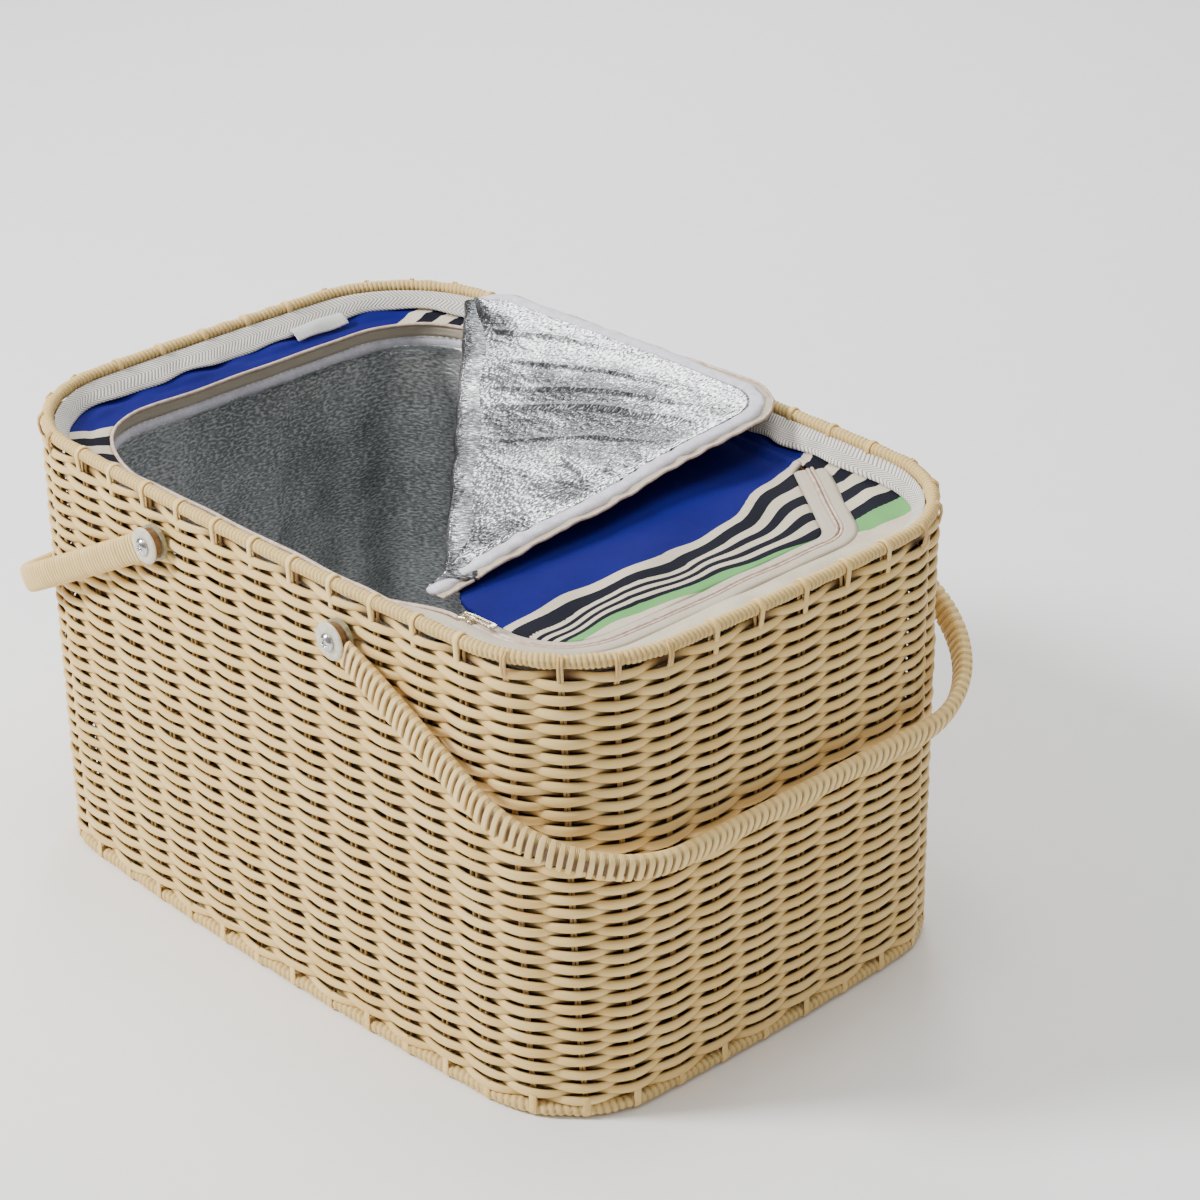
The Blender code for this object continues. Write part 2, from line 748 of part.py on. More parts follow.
def make_handles():
    cane = material("handle_cane", CANE, 0.55)
    steel = material("handle_core", WIRE, 0.5)
    for end, sign_x in (("left", -1), ("right", 1)):
        pivot = Vector((sign_x * PIVOT_X, 0.0, PIVOT_Z))
        set_origin(make_core(f"handle_{end}_core", sign_x, steel), pivot)
        set_origin(make_wrap(f"handle_{end}_wrap", sign_x, cane), pivot)


# ---------------------------------------------------------------- pivot hardware


def washer(name, x, direction, low, high, radius, surface):
    """A flat ring between two distances outwards from the basket's middle."""
    profile = ((low, radius), (high, radius), (high, WASHER_HOLE_RADIUS), (low, WASHER_HOLE_RADIUS))
    rows = turned(x, PIVOT_Z, outwards(profile, direction), WASHER_SIDES)
    return skin(name, rows, surface, ring=True)


def outwards(profile, direction):
    """The profile on the near side (-1) or the far side (1) of the basket."""
    return [(direction * away, radius) for away, radius in profile]


def make_pivot(name, sign_x, sign_y):
    """One bolt with its two washers outside the wall, and its backing washer and nut inside."""
    steel = material("bolt_steel", STEEL, 0.3, 1.0)
    plastic = material("washer_plastic", CLEAR_PLASTIC, 0.4)
    x = sign_x * PIVOT_X
    # The wall leans and curves a little over a washer's width, so the faces keep clear of it.
    middle = RIM_PLAN[1] + LONG_BOW * (1 - (PIVOT_X / RIM_PLAN[0]) ** 2)
    wall_out = middle + WALL_THICKNESS / 2 + OUTER_CLEARANCE
    wall_in = middle - WALL_THICKNESS / 2 - INNER_CLEARANCE
    eye_in = EYE_Y - CORE_SIZE[0] / 2 - GAP
    eye_out = EYE_Y + CORE_SIZE[0] / 2 + GAP
    washer(f"spacer_washer_{name}", x, sign_y, wall_out, eye_in, WASHER_RADIUS, plastic)
    washer(f"outer_washer_{name}", x, sign_y, eye_out, eye_out + WASHER_THICKNESS, WASHER_RADIUS, plastic)
    washer(f"backing_washer_{name}", x, sign_y, wall_in - WASHER_THICKNESS, wall_in, WASHER_RADIUS, steel)
    nut_out = wall_in - WASHER_THICKNESS - GAP
    nut_in = nut_out - NUT_LENGTH
    hole = (BOLT_RADIUS + GAP) / math.cos(math.pi / 6)
    profile = ((nut_in, NUT_RADIUS), (nut_out, NUT_RADIUS), (nut_out, hole), (nut_in, hole))
    nut = turned(x, PIVOT_Z, outwards(profile, sign_y), sides=6)
    skin(f"lock_nut_{name}", nut, steel, ring=True)
    head = eye_out + WASHER_THICKNESS + GAP
    profile = (
        (nut_in + BOLT_END, BOLT_RADIUS),
        (head, BOLT_RADIUS),
        (head, HEAD_RADIUS),
        (head + HEAD_HEIGHT * HEAD_EDGE, HEAD_RADIUS),
        (head + HEAD_HEIGHT, HEAD_RADIUS * HEAD_EDGE),
    )
    bolt = turned(x, PIVOT_Z, outwards(profile, sign_y), sides=12)
    skin(f"pivot_bolt_{name}", bolt, steel)


def main():
    clear_scene()
    make_cane()
    make_liner()
    make_zip()
    make_lid()
    make_flap()
    make_slider()
    make_label(material("label_cloth", CREAM, 0.85))
    make_handles()
    for name, sign_x, sign_y in pivot_places():
        make_pivot(name, sign_x, sign_y)


main()
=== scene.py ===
"""Looks of the picnic basket: woven cane, wound handles, striped liner, zip and foil.

Units are metres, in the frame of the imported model: +X to the right end, -Y to the near side, +Z up.
"""

import math

import bmesh
import bpy
import numpy as np
from mathutils import Matrix, Vector


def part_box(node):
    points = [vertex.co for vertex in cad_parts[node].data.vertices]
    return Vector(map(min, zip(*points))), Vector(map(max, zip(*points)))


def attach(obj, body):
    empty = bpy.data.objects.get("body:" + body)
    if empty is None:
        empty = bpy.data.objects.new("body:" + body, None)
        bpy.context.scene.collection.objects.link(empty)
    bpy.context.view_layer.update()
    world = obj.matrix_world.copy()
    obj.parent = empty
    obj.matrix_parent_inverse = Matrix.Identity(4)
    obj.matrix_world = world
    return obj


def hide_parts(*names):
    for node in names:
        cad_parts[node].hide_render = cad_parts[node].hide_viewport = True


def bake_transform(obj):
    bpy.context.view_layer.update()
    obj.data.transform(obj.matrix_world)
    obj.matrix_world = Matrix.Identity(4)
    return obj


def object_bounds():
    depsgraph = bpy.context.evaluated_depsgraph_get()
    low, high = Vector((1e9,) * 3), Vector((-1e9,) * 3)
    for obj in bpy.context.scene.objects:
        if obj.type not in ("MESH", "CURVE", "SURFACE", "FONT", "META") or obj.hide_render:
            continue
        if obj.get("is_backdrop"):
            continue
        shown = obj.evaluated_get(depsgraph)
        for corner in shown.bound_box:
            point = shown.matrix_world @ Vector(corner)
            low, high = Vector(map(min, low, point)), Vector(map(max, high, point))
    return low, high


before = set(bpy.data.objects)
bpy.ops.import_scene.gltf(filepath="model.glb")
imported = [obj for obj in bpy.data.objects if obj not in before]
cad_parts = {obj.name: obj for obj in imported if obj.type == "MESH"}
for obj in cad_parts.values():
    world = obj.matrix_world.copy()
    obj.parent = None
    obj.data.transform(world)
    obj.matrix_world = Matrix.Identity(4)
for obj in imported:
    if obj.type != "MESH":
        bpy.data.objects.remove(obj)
cad_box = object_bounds()

# ---------------------------------------------------------------- sizes

# Plans are (half length, half width, corner radius).
RIM_PLAN = (0.2340, 0.1510, 0.0660)
BASE_PLAN = (0.2275, 0.1495, 0.0520)
LINER_PLAN = (0.2220, 0.1440, 0.0550)
LONG_BOW = 0.0092
END_BOW = 0.0058
RIM_HEIGHT = 0.2680
RIM_RADIUS = 0.0038
BASE_HEIGHT = 0.0046
BASE_RADIUS = 0.0040

STAKES = 48
CORNER_PACE = 0.18
STAKE_SHIFT = 0.0099
# How a corner wire hooks over the rim, as (outwards, up) from it.
HOOK = ((0.0010, -0.0130), (0.0040, -0.0080), (0.0050, -0.0030), (0.0046, 0.0010), (0.0020, 0.0036))
WEAVE_LOW = 0.0085
WEAVE_HIGH = 0.2618
STRAND_PITCH = 0.0041
STRAND_HEIGHT = 0.0057
STRAND_BULGE = 0.0016
STRAND_SWING = 0.0026
STRAND_WANDER = 0.00022
STRAND_LIFT = 0.00020
SAMPLES = 8
WIRE_RADIUS = 0.00085
RING_WIRE = 0.0018
WIRE_SHIFTS = (-0.0017, 0.0017)
CORNER_SHIFTS = (-0.0008, 0.0008)
FLOOR_INSET = 0.0052
FLOOR_LEVEL = 0.0031
FLOOR_WAVE = 0.0011
FLOOR_PITCH = 0.0056
FLOOR_SPACING = 0.020
FLOOR_WIDTHS = (0.0052, 0.0030)
FLOOR_THICKNESS = 0.0018
RIM_STRAP = (0.0034, 0.0013)
BASE_STRAP = (0.0044, 0.0010)

# The zip's line and the two ends of the crease.
ZIP_CORNERS = (
    (-0.1480, 0.1350, 0.0),
    (-0.2010, 0.1350, 0.0520),
    (-0.2010, -0.1220, 0.0450),
    (0.1960, -0.1220, 0.0450),
    (0.1960, 0.0850, 0.0250),
    (0.1240, 0.1350, 0.0),
)
CREASE_FAR = Vector((-0.1575, 0.1325, 0.2785))
CREASE_NEAR = Vector((0.1085, -0.1215, 0.2550))

# The shut flap's outline, and one corner of its plane.
FLAP_CORNERS = (
    (-0.1480, 0.1350, 0.0),
    (-0.1835, 0.1350, 0.0345),
    (-0.1835, -0.1220, 0.0450),
    (0.1960, -0.1220, 0.0450),
    (0.1960, 0.0850, 0.0),
)
FLAP_CORNER = (-0.1600, -0.1170, 0.2520)
TIP_DROOP = 0.0030
FLAP_WAVE = 0.0016
FLAP_HALF = 0.0016
FOLD_RADIUS = 0.0022
FOLD_SHIFT = 0.0024
FOLD_FOOT = 0.2508
# The fold's last rows, as (along the flap, down onto it).
FOLD_TAIL = ((0.0030, 0.0), (0.0060, 0.0002), (0.0090, 0.0006), (0.0120, 0.0013), (0.0150, 0.0022))
# Ridges on the folded flap, as (start, end, height, width).
WRINKLES = (
    ((-0.105, 0.055), (-0.150, -0.070), 0.0016, 0.0026),
    ((-0.075, 0.035), (-0.140, -0.085), 0.0014, 0.0022),
    ((-0.060, 0.020), (-0.125, -0.095), 0.0018, 0.0026),
    ((-0.030, -0.010), (-0.100, -0.100), 0.0012, 0.0020),
    ((-0.045, -0.060), (-0.020, -0.105), 0.0012, 0.0018),
    ((-0.130, 0.085), (-0.160, 0.010), 0.0014, 0.0030),
)
FLAP_FOLD = math.radians(181.5)
SLIDER_X = 0.1290
COIL_HEIGHT = 0.2545
COIL_SHIFT = 0.0013
COIL_RADIUS = 0.0013
FLAP_COIL_RADIUS = 0.0011
# Sections of the zip's tapes, as (shift outwards, height): the fixed half open and shut, and the lid's half.
TAPE_OPEN = ((0.0020, 0.2536), (0.0012, 0.2532), (0.0018, 0.2508), (0.0024, 0.2482), (0.0032, 0.2452))
TAPE_SHUT = ((0.0098, 0.2548), (0.0076, 0.2556), (0.0050, 0.2556), (0.0026, 0.2552), (0.0010, 0.2543))
TAPE_LID = ((-0.0010, 0.2542), (-0.0030, 0.2544), (-0.0065, 0.2540), (-0.0094, 0.2526))
TAPE_WIDTH = 0.0088
# The pull's section, as (share from its inner to its outer outline, share of its half thickness).
PULL_SECTION = (
    (1.0, -0.6),
    (1.0, 0.6),
    (0.85, 1.0),
    (0.15, 1.0),
    (0.0, 0.6),
    (0.0, -0.6),
    (0.15, -1.0),
    (0.85, -1.0),
)
ZIP_CLOTH = 0.0004
NEAR_SAG = 0.0100
NEAR_PRINT = 0.2200

TUB_TOP = 0.2440
FOIL_TOP = 0.2400
FOIL_DEPTH = 0.2200
FOIL_INSET = 0.0072
FOIL_FLOOR = 0.0180
FOIL_LEVEL = 0.0172
# Rows down the foil, as (inset from the wall, height, extra corner).
FOIL_ROWS = (
    *((0.0, height, 0.0) for height in (0.2330, 0.2200)),
    *((0.0, 0.2000 - 0.0200 * k, 0.0) for k in range(9)),
    (0.0010, 0.0260, 0.0),
    (0.0040, 0.0195, 0.0),
    (0.0120, 0.0175, 0.0),
    (0.0300, FOIL_LEVEL, 0.01),
    *((inset, FOIL_LEVEL, 0.02) for inset in (0.0550, 0.0800, 0.1050, 0.1280)),
)

STRIPE_LOW = -24.0
STRIPE_HIGH = 13.0
BANDS = ("cream", "navy")
# Printed canvas: the colour that starts at each stripe number.
STRIPES = (
    (STRIPE_LOW, "blue"),
    *((k, BANDS[k % 2]) for k in range(-20, -12)),
    (-12, "green"),
    (-10.5, "cream"),
    (-9, "blue"),
    *((k, BANDS[k % 2]) for k in range(8)),
    (8, "green"),
    (9, "cream"),
)
INKS = {
    "blue": (0.0055, 0.0065, 0.140),
    "cream": (0.650, 0.570, 0.430),
    "navy": (0.0090, 0.0095, 0.0170),
    "green": (0.150, 0.400, 0.130),
}
# The left-hand stripes: where they start, how they curve with Y, and their width.
LEFT_STRIPES = -0.1850
LEFT_CURVE = 1.05
LEFT_WIDTH = 0.0087
# Where the right-hand stripes start: Y, then the X of each edge.
STRIPE_KNOTS = (
    (-0.110, 0.144, 0.150, 0.163, 0.179, 0.182),
    (-0.045, 0.141, 0.150, 0.157, 0.173, 0.178),
    (0.000, 0.144, 0.153, 0.162, 0.180, 0.186),
    (0.060, 0.137, 0.143, 0.151, 0.182, 0.190),
    (0.100, 0.122, 0.129, 0.138, 0.187, 0.200),
    (0.155, 0.105, 0.112, 0.126, 0.185, 0.205),
)

ENDS = (("left", -1), ("right", 1))
SIDES = (("near", -1), ("far", 1))
UP = np.array((0.0, 0.0, 1.0))
PIVOT_X = 0.0780
PIVOT_Z = 0.2420
EYE_Y = 0.1683
HANDLE_REACH = 0.1945
HANDLE_CORNER = 0.0800
HANDLE_DROOPS = {-1: math.radians(27.8), 1: math.radians(26.2)}
WRAP_SIZE = (0.0086, 0.0168)
WRAP_START = 0.0092
WRAP_TAPER = 0.0320
WRAP_PITCH = {-1: 0.0029, 1: 0.0051}
WRAP_LEAN = {-1: 0.0003, 1: -0.0012}
WRAP_GROOVE = 0.0013
WRAP_SLOT = 0.0022
WRAP_THINNEST = 0.53
RIM_WIND = 0.0029
BASE_WIND = 0.0040
WIND_GROOVE = 0.0008
WIND_RIDGE = 0.0009
WIND_UNEVEN = 0.00012

# Painted highlights across the flap's foil, as (axis of 'strand', middle, width).
FOIL_PAINTED_HIGHLIGHTS = ((0, -0.1570, 0.0140), (1, -0.1060, 0.0100))
# The colour of painted glints on the foil's dashes.
FOIL_GLINT = (0.97, 0.97, 0.98)
# The colour of painted shade on cane: behind the stakes, on the strands' upper and inner sides, in the
# winding's slots and between turns.
CANE_SHADE = (0.110, 0.046, 0.012)

# The camera that was fitted to the photo.
CAMERA_PLACE = (1.27448, -1.11031, 1.03327)
CAMERA_AZIMUTH = math.radians(46.675)
CAMERA_ELEVATION = math.radians(26.933)
CAMERA_ROLL = math.radians(-0.69)
CAMERA_LENS = 100.92
# Lights, as (name, place, target, size, watts).
LIGHTS = (
    ("key", (-1.3, -1.8, 1.9), (0, 0, 0.15), 0.7, 122),
    ("fill", (2.1, -0.3, 1.2), (0, 0, 0.15), 1.5, 3),
    ("top", (0.1, 0.2, 2.6), (0, 0, 0.2), 1.6, 36),
    ("back", (-1.5, 1.6, 1.5), (0, 0, 0.22), 0.9, 26),
)
SKY = ((0.0, (0.55, 0.55, 0.56)), (0.8, (1.0, 1.0, 1.0)))
SKY_STRENGTH = 0.56

rng = np.random.default_rng(7)


# ---------------------------------------------------------------- material helpers


class Nodes:
    """Builds a material's node tree around one Principled shader."""

    def __init__(self, name):
        self.material = bpy.data.materials.new(name)
        self.material.use_nodes = True
        self.tree = self.material.node_tree
        self.shader = self.tree.nodes["Principled BSDF"]

    def put(self, socket, value):
        if isinstance(value, bpy.types.NodeSocket):
            self.tree.links.new(value, socket)
        elif value is not None:
            socket.default_value = value

    def node(self, kind, **settings):
        made = self.tree.nodes.new(kind)
        for key, value in settings.items():
            setattr(made, key, value)
        return made

    def attribute(self, name):
        return self.node("ShaderNodeAttribute", attribute_name=name).outputs["Vector"]

    def number(self, name):
        return self.node("ShaderNodeAttribute", attribute_name=name).outputs["Fac"]

    def coordinates(self):
        return self.node("ShaderNodeTexCoord").outputs["Object"]

    def parts(self, vector):
        made = self.node("ShaderNodeSeparateXYZ")
        self.put(made.inputs[0], vector)
        return made.outputs

    def math(self, operation, a, b=None, clamp=False):
        made = self.node("ShaderNodeMath", operation=operation, use_clamp=clamp)
        self.put(made.inputs[0], a)
        self.put(made.inputs[1], b)
        return made.outputs[0]

    def scaled(self, vector, scale):
        made = self.node("ShaderNodeVectorMath", operation="MULTIPLY")
        self.put(made.inputs[0], vector)
        self.put(made.inputs[1], scale)
        return made.outputs[0]

    def noise(self, vector, scale, detail=3.0, roughness=0.55):
        made = self.node("ShaderNodeTexNoise")
        self.put(made.inputs["Vector"], vector)
        self.put(made.inputs["Scale"], scale)
        self.put(made.inputs["Detail"], detail)
        self.put(made.inputs["Roughness"], roughness)
        return made.outputs["Fac"]

    def voronoi(self, vector, scale):
        made = self.node("ShaderNodeTexVoronoi")
        self.put(made.inputs["Vector"], vector)
        self.put(made.inputs["Scale"], scale)
        return made.outputs["Distance"]

    def spread(self, value, low, high, to_low=0.0, to_high=1.0):
        made = self.node("ShaderNodeMapRange")
        for socket, given in zip(made.inputs, (value, low, high, to_low, to_high)):
            self.put(socket, given)
        return made.outputs[0]

    def ramp(self, value, stops, constant=False):
        """Colours along a value, as (place, colour) pairs in rising order."""
        made = self.node("ShaderNodeValToRGB")
        made.color_ramp.interpolation = "CONSTANT" if constant else "LINEAR"
        elements = made.color_ramp.elements
        while len(elements) < len(stops):
            elements.new(0.5)
        for element, (place, colour) in zip(elements, stops):
            element.position = place
            element.color = (*colour, 1.0)
        self.put(made.inputs[0], value)
        return made.outputs[0]

    def mix(self, share, a, b, blend="MIX"):
        made = self.node("ShaderNodeMix", data_type="RGBA", blend_type=blend)
        self.put(made.inputs["Factor"], share)
        for socket, value in ((made.inputs[6], a), (made.inputs[7], b)):
            self.put(socket, (*value, 1.0) if isinstance(value, tuple) else value)
        return made.outputs[2]

    def bump(self, height, distance, strength=1.0, under=None):
        made = self.node("ShaderNodeBump")
        self.put(made.inputs["Strength"], strength)
        self.put(made.inputs["Distance"], distance)
        self.put(made.inputs["Height"], height)
        self.put(made.inputs["Normal"], under)
        return made.outputs[0]

    def finish(self, colour, roughness, normal=None, **settings):
        self.put(self.shader.inputs["Base Color"], colour)
        self.put(self.shader.inputs["Roughness"], roughness)
        self.put(self.shader.inputs["Normal"], normal)
        for key, value in settings.items():
            self.put(self.shader.inputs[key.replace("_", " ")], value)
        return self.material


def cane_material(name, light, dark, roughness=0.42):
    """Moulded cane: the attribute 'strand' holds metres along it, metres across it and a number."""
    n = Nodes(name)
    strand = n.attribute("strand")
    tone = n.noise(n.scaled(strand, (14.0, 60.0, 9.7)), 1.0, 2.0)
    grain = n.noise(n.scaled(strand, (55.0, 1900.0, 3.1)), 1.0, 2.0)
    colour = n.ramp(n.spread(tone, 0.3, 0.7), ((0.0, dark), (1.0, light)))
    colour = n.mix(n.spread(grain, 0.35, 0.75, 0.0, 0.22), colour, tuple(c * 0.72 for c in dark))
    # Painted shade: each point darkens towards the cane's shade colour by its per-point shade share.
    colour = n.mix(n.math("MULTIPLY", n.number("painted_shade"), 0.92, True), colour, CANE_SHADE)
    rough = n.spread(grain, 0.3, 0.7, roughness - 0.07, roughness + 0.12)
    normal = n.bump(grain, 0.00025, 0.8)
    return n.finish(colour, rough, normal, Specular_IOR_Level=0.30)


# ---------------------------------------------------------------- mesh helpers


def grid_faces(rows, columns, wrap_rows=False, wrap_columns=False):
    """Quads between neighbouring rows and columns of a grid of points."""
    r = np.arange(rows if wrap_rows else rows - 1)
    c = np.arange(columns if wrap_columns else columns - 1)
    r, c = np.meshgrid(r, c, indexing="ij")
    r2 = (r + 1) % rows
    c2 = (c + 1) % columns
    quads = np.stack([r * columns + c, r * columns + c2, r2 * columns + c2, r2 * columns + c], -1)
    return quads.reshape(-1, 4)


class Shape:
    """Collects grids of points, with their faces and strand coordinates, into one mesh."""

    def __init__(self):
        self.points = []
        self.faces = []
        self.strand = []
        self.painted_shades = []
        self.layers = []
        self.count = 0

    def grid(
        self,
        points,
        wrap_rows=False,
        wrap_columns=False,
        along=0.0,
        across=0.0,
        tag=0.0,
        painted_shade=0.0,
        layer=0,
    ):
        """Rows of points. Along may be one value per row, across one per column, or each a whole grid."""
        rows, columns = points.shape[:2]
        quads = grid_faces(rows, columns, wrap_rows, wrap_columns) + self.count
        marks = np.zeros((rows, columns, 3))
        marks[..., 0] = along[:, None] if np.ndim(along) == 1 else along
        marks[..., 1] = across
        marks[..., 2] = tag
        self.points.append(points.reshape(-1, 3))
        self.painted_shades.append(np.broadcast_to(painted_shade, (rows, columns)).ravel())
        self.strand.append(marks.reshape(-1, 3))
        self.faces += quads.tolist()
        self.layers += [layer] * len(quads)
        self.count += rows * columns

    def face(self, corners):
        """One face of its own, such as the end of a tube."""
        self.faces.append(list(corners))
        self.layers.append(0)

    def capped(self, points, along, across, tag=0.0, painted_shade=0.0):
        """A tube of rows, with one face closing each end."""
        first = self.count
        rows, columns = points.shape[:2]
        self.grid(points, False, True, along, across, tag, painted_shade)
        self.face(range(first + columns - 1, first - 1, -1))
        self.face(range(first + (rows - 1) * columns, first + rows * columns))

    def make(self, name, materials, node, slot, body="basket"):
        """The finished piece, riding its body and standing for a CAD node, or for a detail of one."""
        mesh = bpy.data.meshes.new(name)
        mesh.from_pydata(np.concatenate(self.points).tolist(), [], self.faces)
        for material in materials:
            mesh.materials.append(material)
        mesh.polygons.foreach_set("material_index", self.layers)
        marks = mesh.attributes.new("strand", "FLOAT_VECTOR", "POINT")
        marks.data.foreach_set("vector", np.concatenate(self.strand).astype(np.float32).ravel())
        # Each point's share of painted shade, read by the cane material.
        painted_shades = mesh.attributes.new("painted_shade", "FLOAT", "POINT")
        painted_shades.data.foreach_set("value", np.concatenate(self.painted_shades).astype(np.float32))
        fix_normals(mesh)
        mesh.shade_smooth()
        obj = bpy.data.objects.new(name, mesh)
        bpy.context.scene.collection.objects.link(obj)
        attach(obj, body)
        if node:
            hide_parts(node)
        return obj


def fix_normals(mesh):
    shape = bmesh.new()
    shape.from_mesh(mesh)
    bmesh.ops.recalc_face_normals(shape, faces=shape.faces)
    shape.to_mesh(mesh)
    shape.free()


def unit(value):
    """The value held between 0 and 1."""
    return np.clip(value, 0, 1)


def normalised(rows):
    return rows / np.linalg.norm(rows, axis=-1, keepdims=True)


def round_turns(count):
    """Even angles round a full circle."""
    return np.arange(count) * 2 * math.pi / count


def signed_power(value, power):
    return np.sign(value) * np.abs(value) ** power


def blend_rows(first, last, shares):
    """Rows of points from one outline to another, along a new second axis."""
    shares = shares[None, :, None]
    return first[:, None, :] * (1 - shares) + last[:, None, :] * shares


def box_corners(node):
    """The low and high corners of a CAD node's box."""
    return (np.array(corner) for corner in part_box(node))


def middle_and_half(node):
    """The middle of a CAD node's box, and its half sizes."""
    low, high = box_corners(node)
    return (low + high) / 2, (high - low) / 2


def waves(positions, length, size, terms, first=1):
    """A smooth random curve that repeats after length, with standard deviation size."""
    total = np.zeros(len(positions))
    for k in range(first, first + terms):
        phase = rng.uniform(0, 2 * math.pi)
        total += rng.normal() * np.sin(2 * math.pi * k * positions / length + phase)
    return total * size / math.sqrt(terms / 2)


# ---------------------------------------------------------------- plan outlines


def rounded_rectangle(half_x, half_y, radius, corner_steps=14, side_steps=24):
    """Points counter-clockwise, starting where the far right corner's arc starts."""
    points = []
    centres = ((1, 1), (-1, 1), (-1, -1), (1, -1))
    for quarter, (sign_x, sign_y) in enumerate(centres):
        centre = np.array((sign_x * (half_x - radius), sign_y * (half_y - radius)))
        turns = quarter * math.pi / 2 + np.linspace(0, math.pi / 2, corner_steps + 1)
        arc = centre + radius * np.stack([np.cos(turns), np.sin(turns)], -1)
        if points:
            points.append(between(points[-1][-1], arc[0], side_steps))
        points.append(arc)
    points.append(between(points[-1][-1], points[0][0], side_steps))
    return np.concatenate(points)


def between(a, b, steps):
    shares = np.arange(1, steps)[:, None] / steps
    return a + (b - a) * shares


def bowed(points, half_x, half_y):
    out = points.copy()
    out[:, 0] += points[:, 0] / half_x * END_BOW * (1 - (points[:, 1] / half_y) ** 2)
    out[:, 1] += points[:, 1] / half_y * LONG_BOW * (1 - (points[:, 0] / half_x) ** 2)
    return out


def normals_of(points, closed=True):
    """Outward unit normals of a counter-clockwise outline, in plan."""
    if closed:
        along = np.roll(points, -1, 0) - np.roll(points, 1, 0)
    else:
        along = np.gradient(points, axis=0)
    along = normalised(along)
    return np.stack([along[:, 1], -along[:, 0]], -1)


def evenly(points, count, closed=True):
    """The same outline as count evenly spaced points, and its length."""
    loop = np.vstack([points, points[:1]]) if closed else points
    lengths = np.concatenate([[0], np.cumsum(np.linalg.norm(np.diff(loop, axis=0), axis=1))])
    steps = count if closed else count - 1
    places = lengths[-1] * np.arange(count) / steps
    return np.stack([np.interp(places, lengths, loop[:, i]) for i in range(points.shape[1])], -1), lengths[-1]


def paced(points, count):
    """A closed outline as count points, a little closer together round its corners."""
    fine, length = evenly(points, 4000)
    corner = unit(np.abs(normals_of(fine)).min(axis=1) * 4)
    pace = np.concatenate([[0], np.cumsum(1 + CORNER_PACE * corner)])
    places = pace[-1] * ((np.arange(count) / count + STAKE_SHIFT) % 1)
    loop = np.vstack([fine, fine[:1]])
    return np.stack([np.interp(places, pace, loop[:, i]) for i in (0, 1)], -1), length


def plan_at(height):
    share = min(max(height / RIM_HEIGHT, 0.0), 1.0) ** 0.6
    sizes = [low + (high - low) * share for low, high in zip(BASE_PLAN, RIM_PLAN)]
    return bowed(rounded_rectangle(*sizes), sizes[0], sizes[1])


def liner_outline(inset, count):
    half_x, half_y, radius = LINER_PLAN
    return evenly(rounded_rectangle(half_x - inset, half_y - inset, radius - inset), count)[0]


# ---------------------------------------------------------------- woven wall


def strand_section():
    """An oval, as (outwards, up) offsets."""
    turns = round_turns(10)
    out = np.where(np.cos(turns) > 0, np.cos(turns), 1.1 * np.cos(turns)) * STRAND_BULGE
    return out, np.sin(turns) * STRAND_HEIGHT / 2


def make_weave(cane):
    """Every row of cane, in front of one stake and behind the next."""
    shape = Shape()
    out, up = strand_section()
    count = STAKES * SAMPLES
    index = np.arange(count)
    rows = round((WEAVE_HIGH - WEAVE_LOW) / STRAND_PITCH)
    pitch = (WEAVE_HIGH - WEAVE_LOW) / rows
    for row in range(rows):
        height = WEAVE_LOW + (row + 0.5) * pitch
        path, length = paced(plan_at(height), count)
        away = normals_of(path)
        turn = math.pi * (index / SAMPLES + row)
        phase = np.cos(turn)
        swing = STRAND_SWING * signed_power(phase, 0.8)
        swing += waves(index, count, STRAND_WANDER, 24, 6)
        lift = waves(index, count, STRAND_LIFT, 30, 4)
        lean = 0.25 * np.sin(turn) + waves(index, count, 0.05, 20, 4)
        belly = (0.80 + 0.20 * np.abs(phase))[:, None]
        side = swing[:, None] + out[None, :] + lean[:, None] * up[None, :] * 0.3
        points = np.empty((count, len(out), 3))
        points[..., :2] = path[:, None, :] + away[:, None, :] * side[..., None]
        points[..., 2] = height + lift[:, None] + up[None, :] * belly
        along = index / count * length + rng.uniform(0, 5)
        # Painted shade: darker where a strand passes behind a stake, over its upper part and on its inner
        # side.
        behind = unit(-phase * 1.1)[:, None] ** 1.3
        above = 0.25 * unit(up / STRAND_HEIGHT * 2 - 0.3)[None, :]
        inside = 0.8 * (out < 0)[None, :]
        painted_shade = unit(behind + above + inside)
        shape.grid(points, True, True, along, up, tag=rng.uniform(0, 9), painted_shade=painted_shade)
    shape.make("woven_cane", [cane], "wicker_wall", "cane")


def tube(path, radius, sides, closed=False, ups=UP):
    """Points of a tube round a path in space, as rows along it."""
    if closed:
        ahead = normalised(np.roll(path, -1, 0) - np.roll(path, 1, 0))
    else:
        ahead = normalised(np.gradient(path, axis=0))
    side = normalised(np.cross(ahead, ups))
    up = np.cross(side, ahead)
    turns = round_turns(sides)
    radius = np.broadcast_to(radius, (len(path),))
    ring = np.cos(turns)[None, :, None] * side[:, None, :] + np.sin(turns)[None, :, None] * up[:, None, :]
    return path[:, None, :] + ring * radius[:, None, None]


def stake_places():
    """For each stake, its plan point and outward normal at a set of heights, and whether it's at a corner."""
    heights = np.linspace(BASE_HEIGHT, RIM_HEIGHT, 12)
    columns = []
    for height in heights:
        path, _ = paced(plan_at(height), STAKES)
        columns.append((path, normals_of(path)))
    for i in range(STAKES):
        points = np.array([column[0][i] for column in columns])
        normals = np.array([column[1][i] for column in columns])
        corner = min(abs(normals[-1])) > 0.12
        yield heights, points, normals, corner


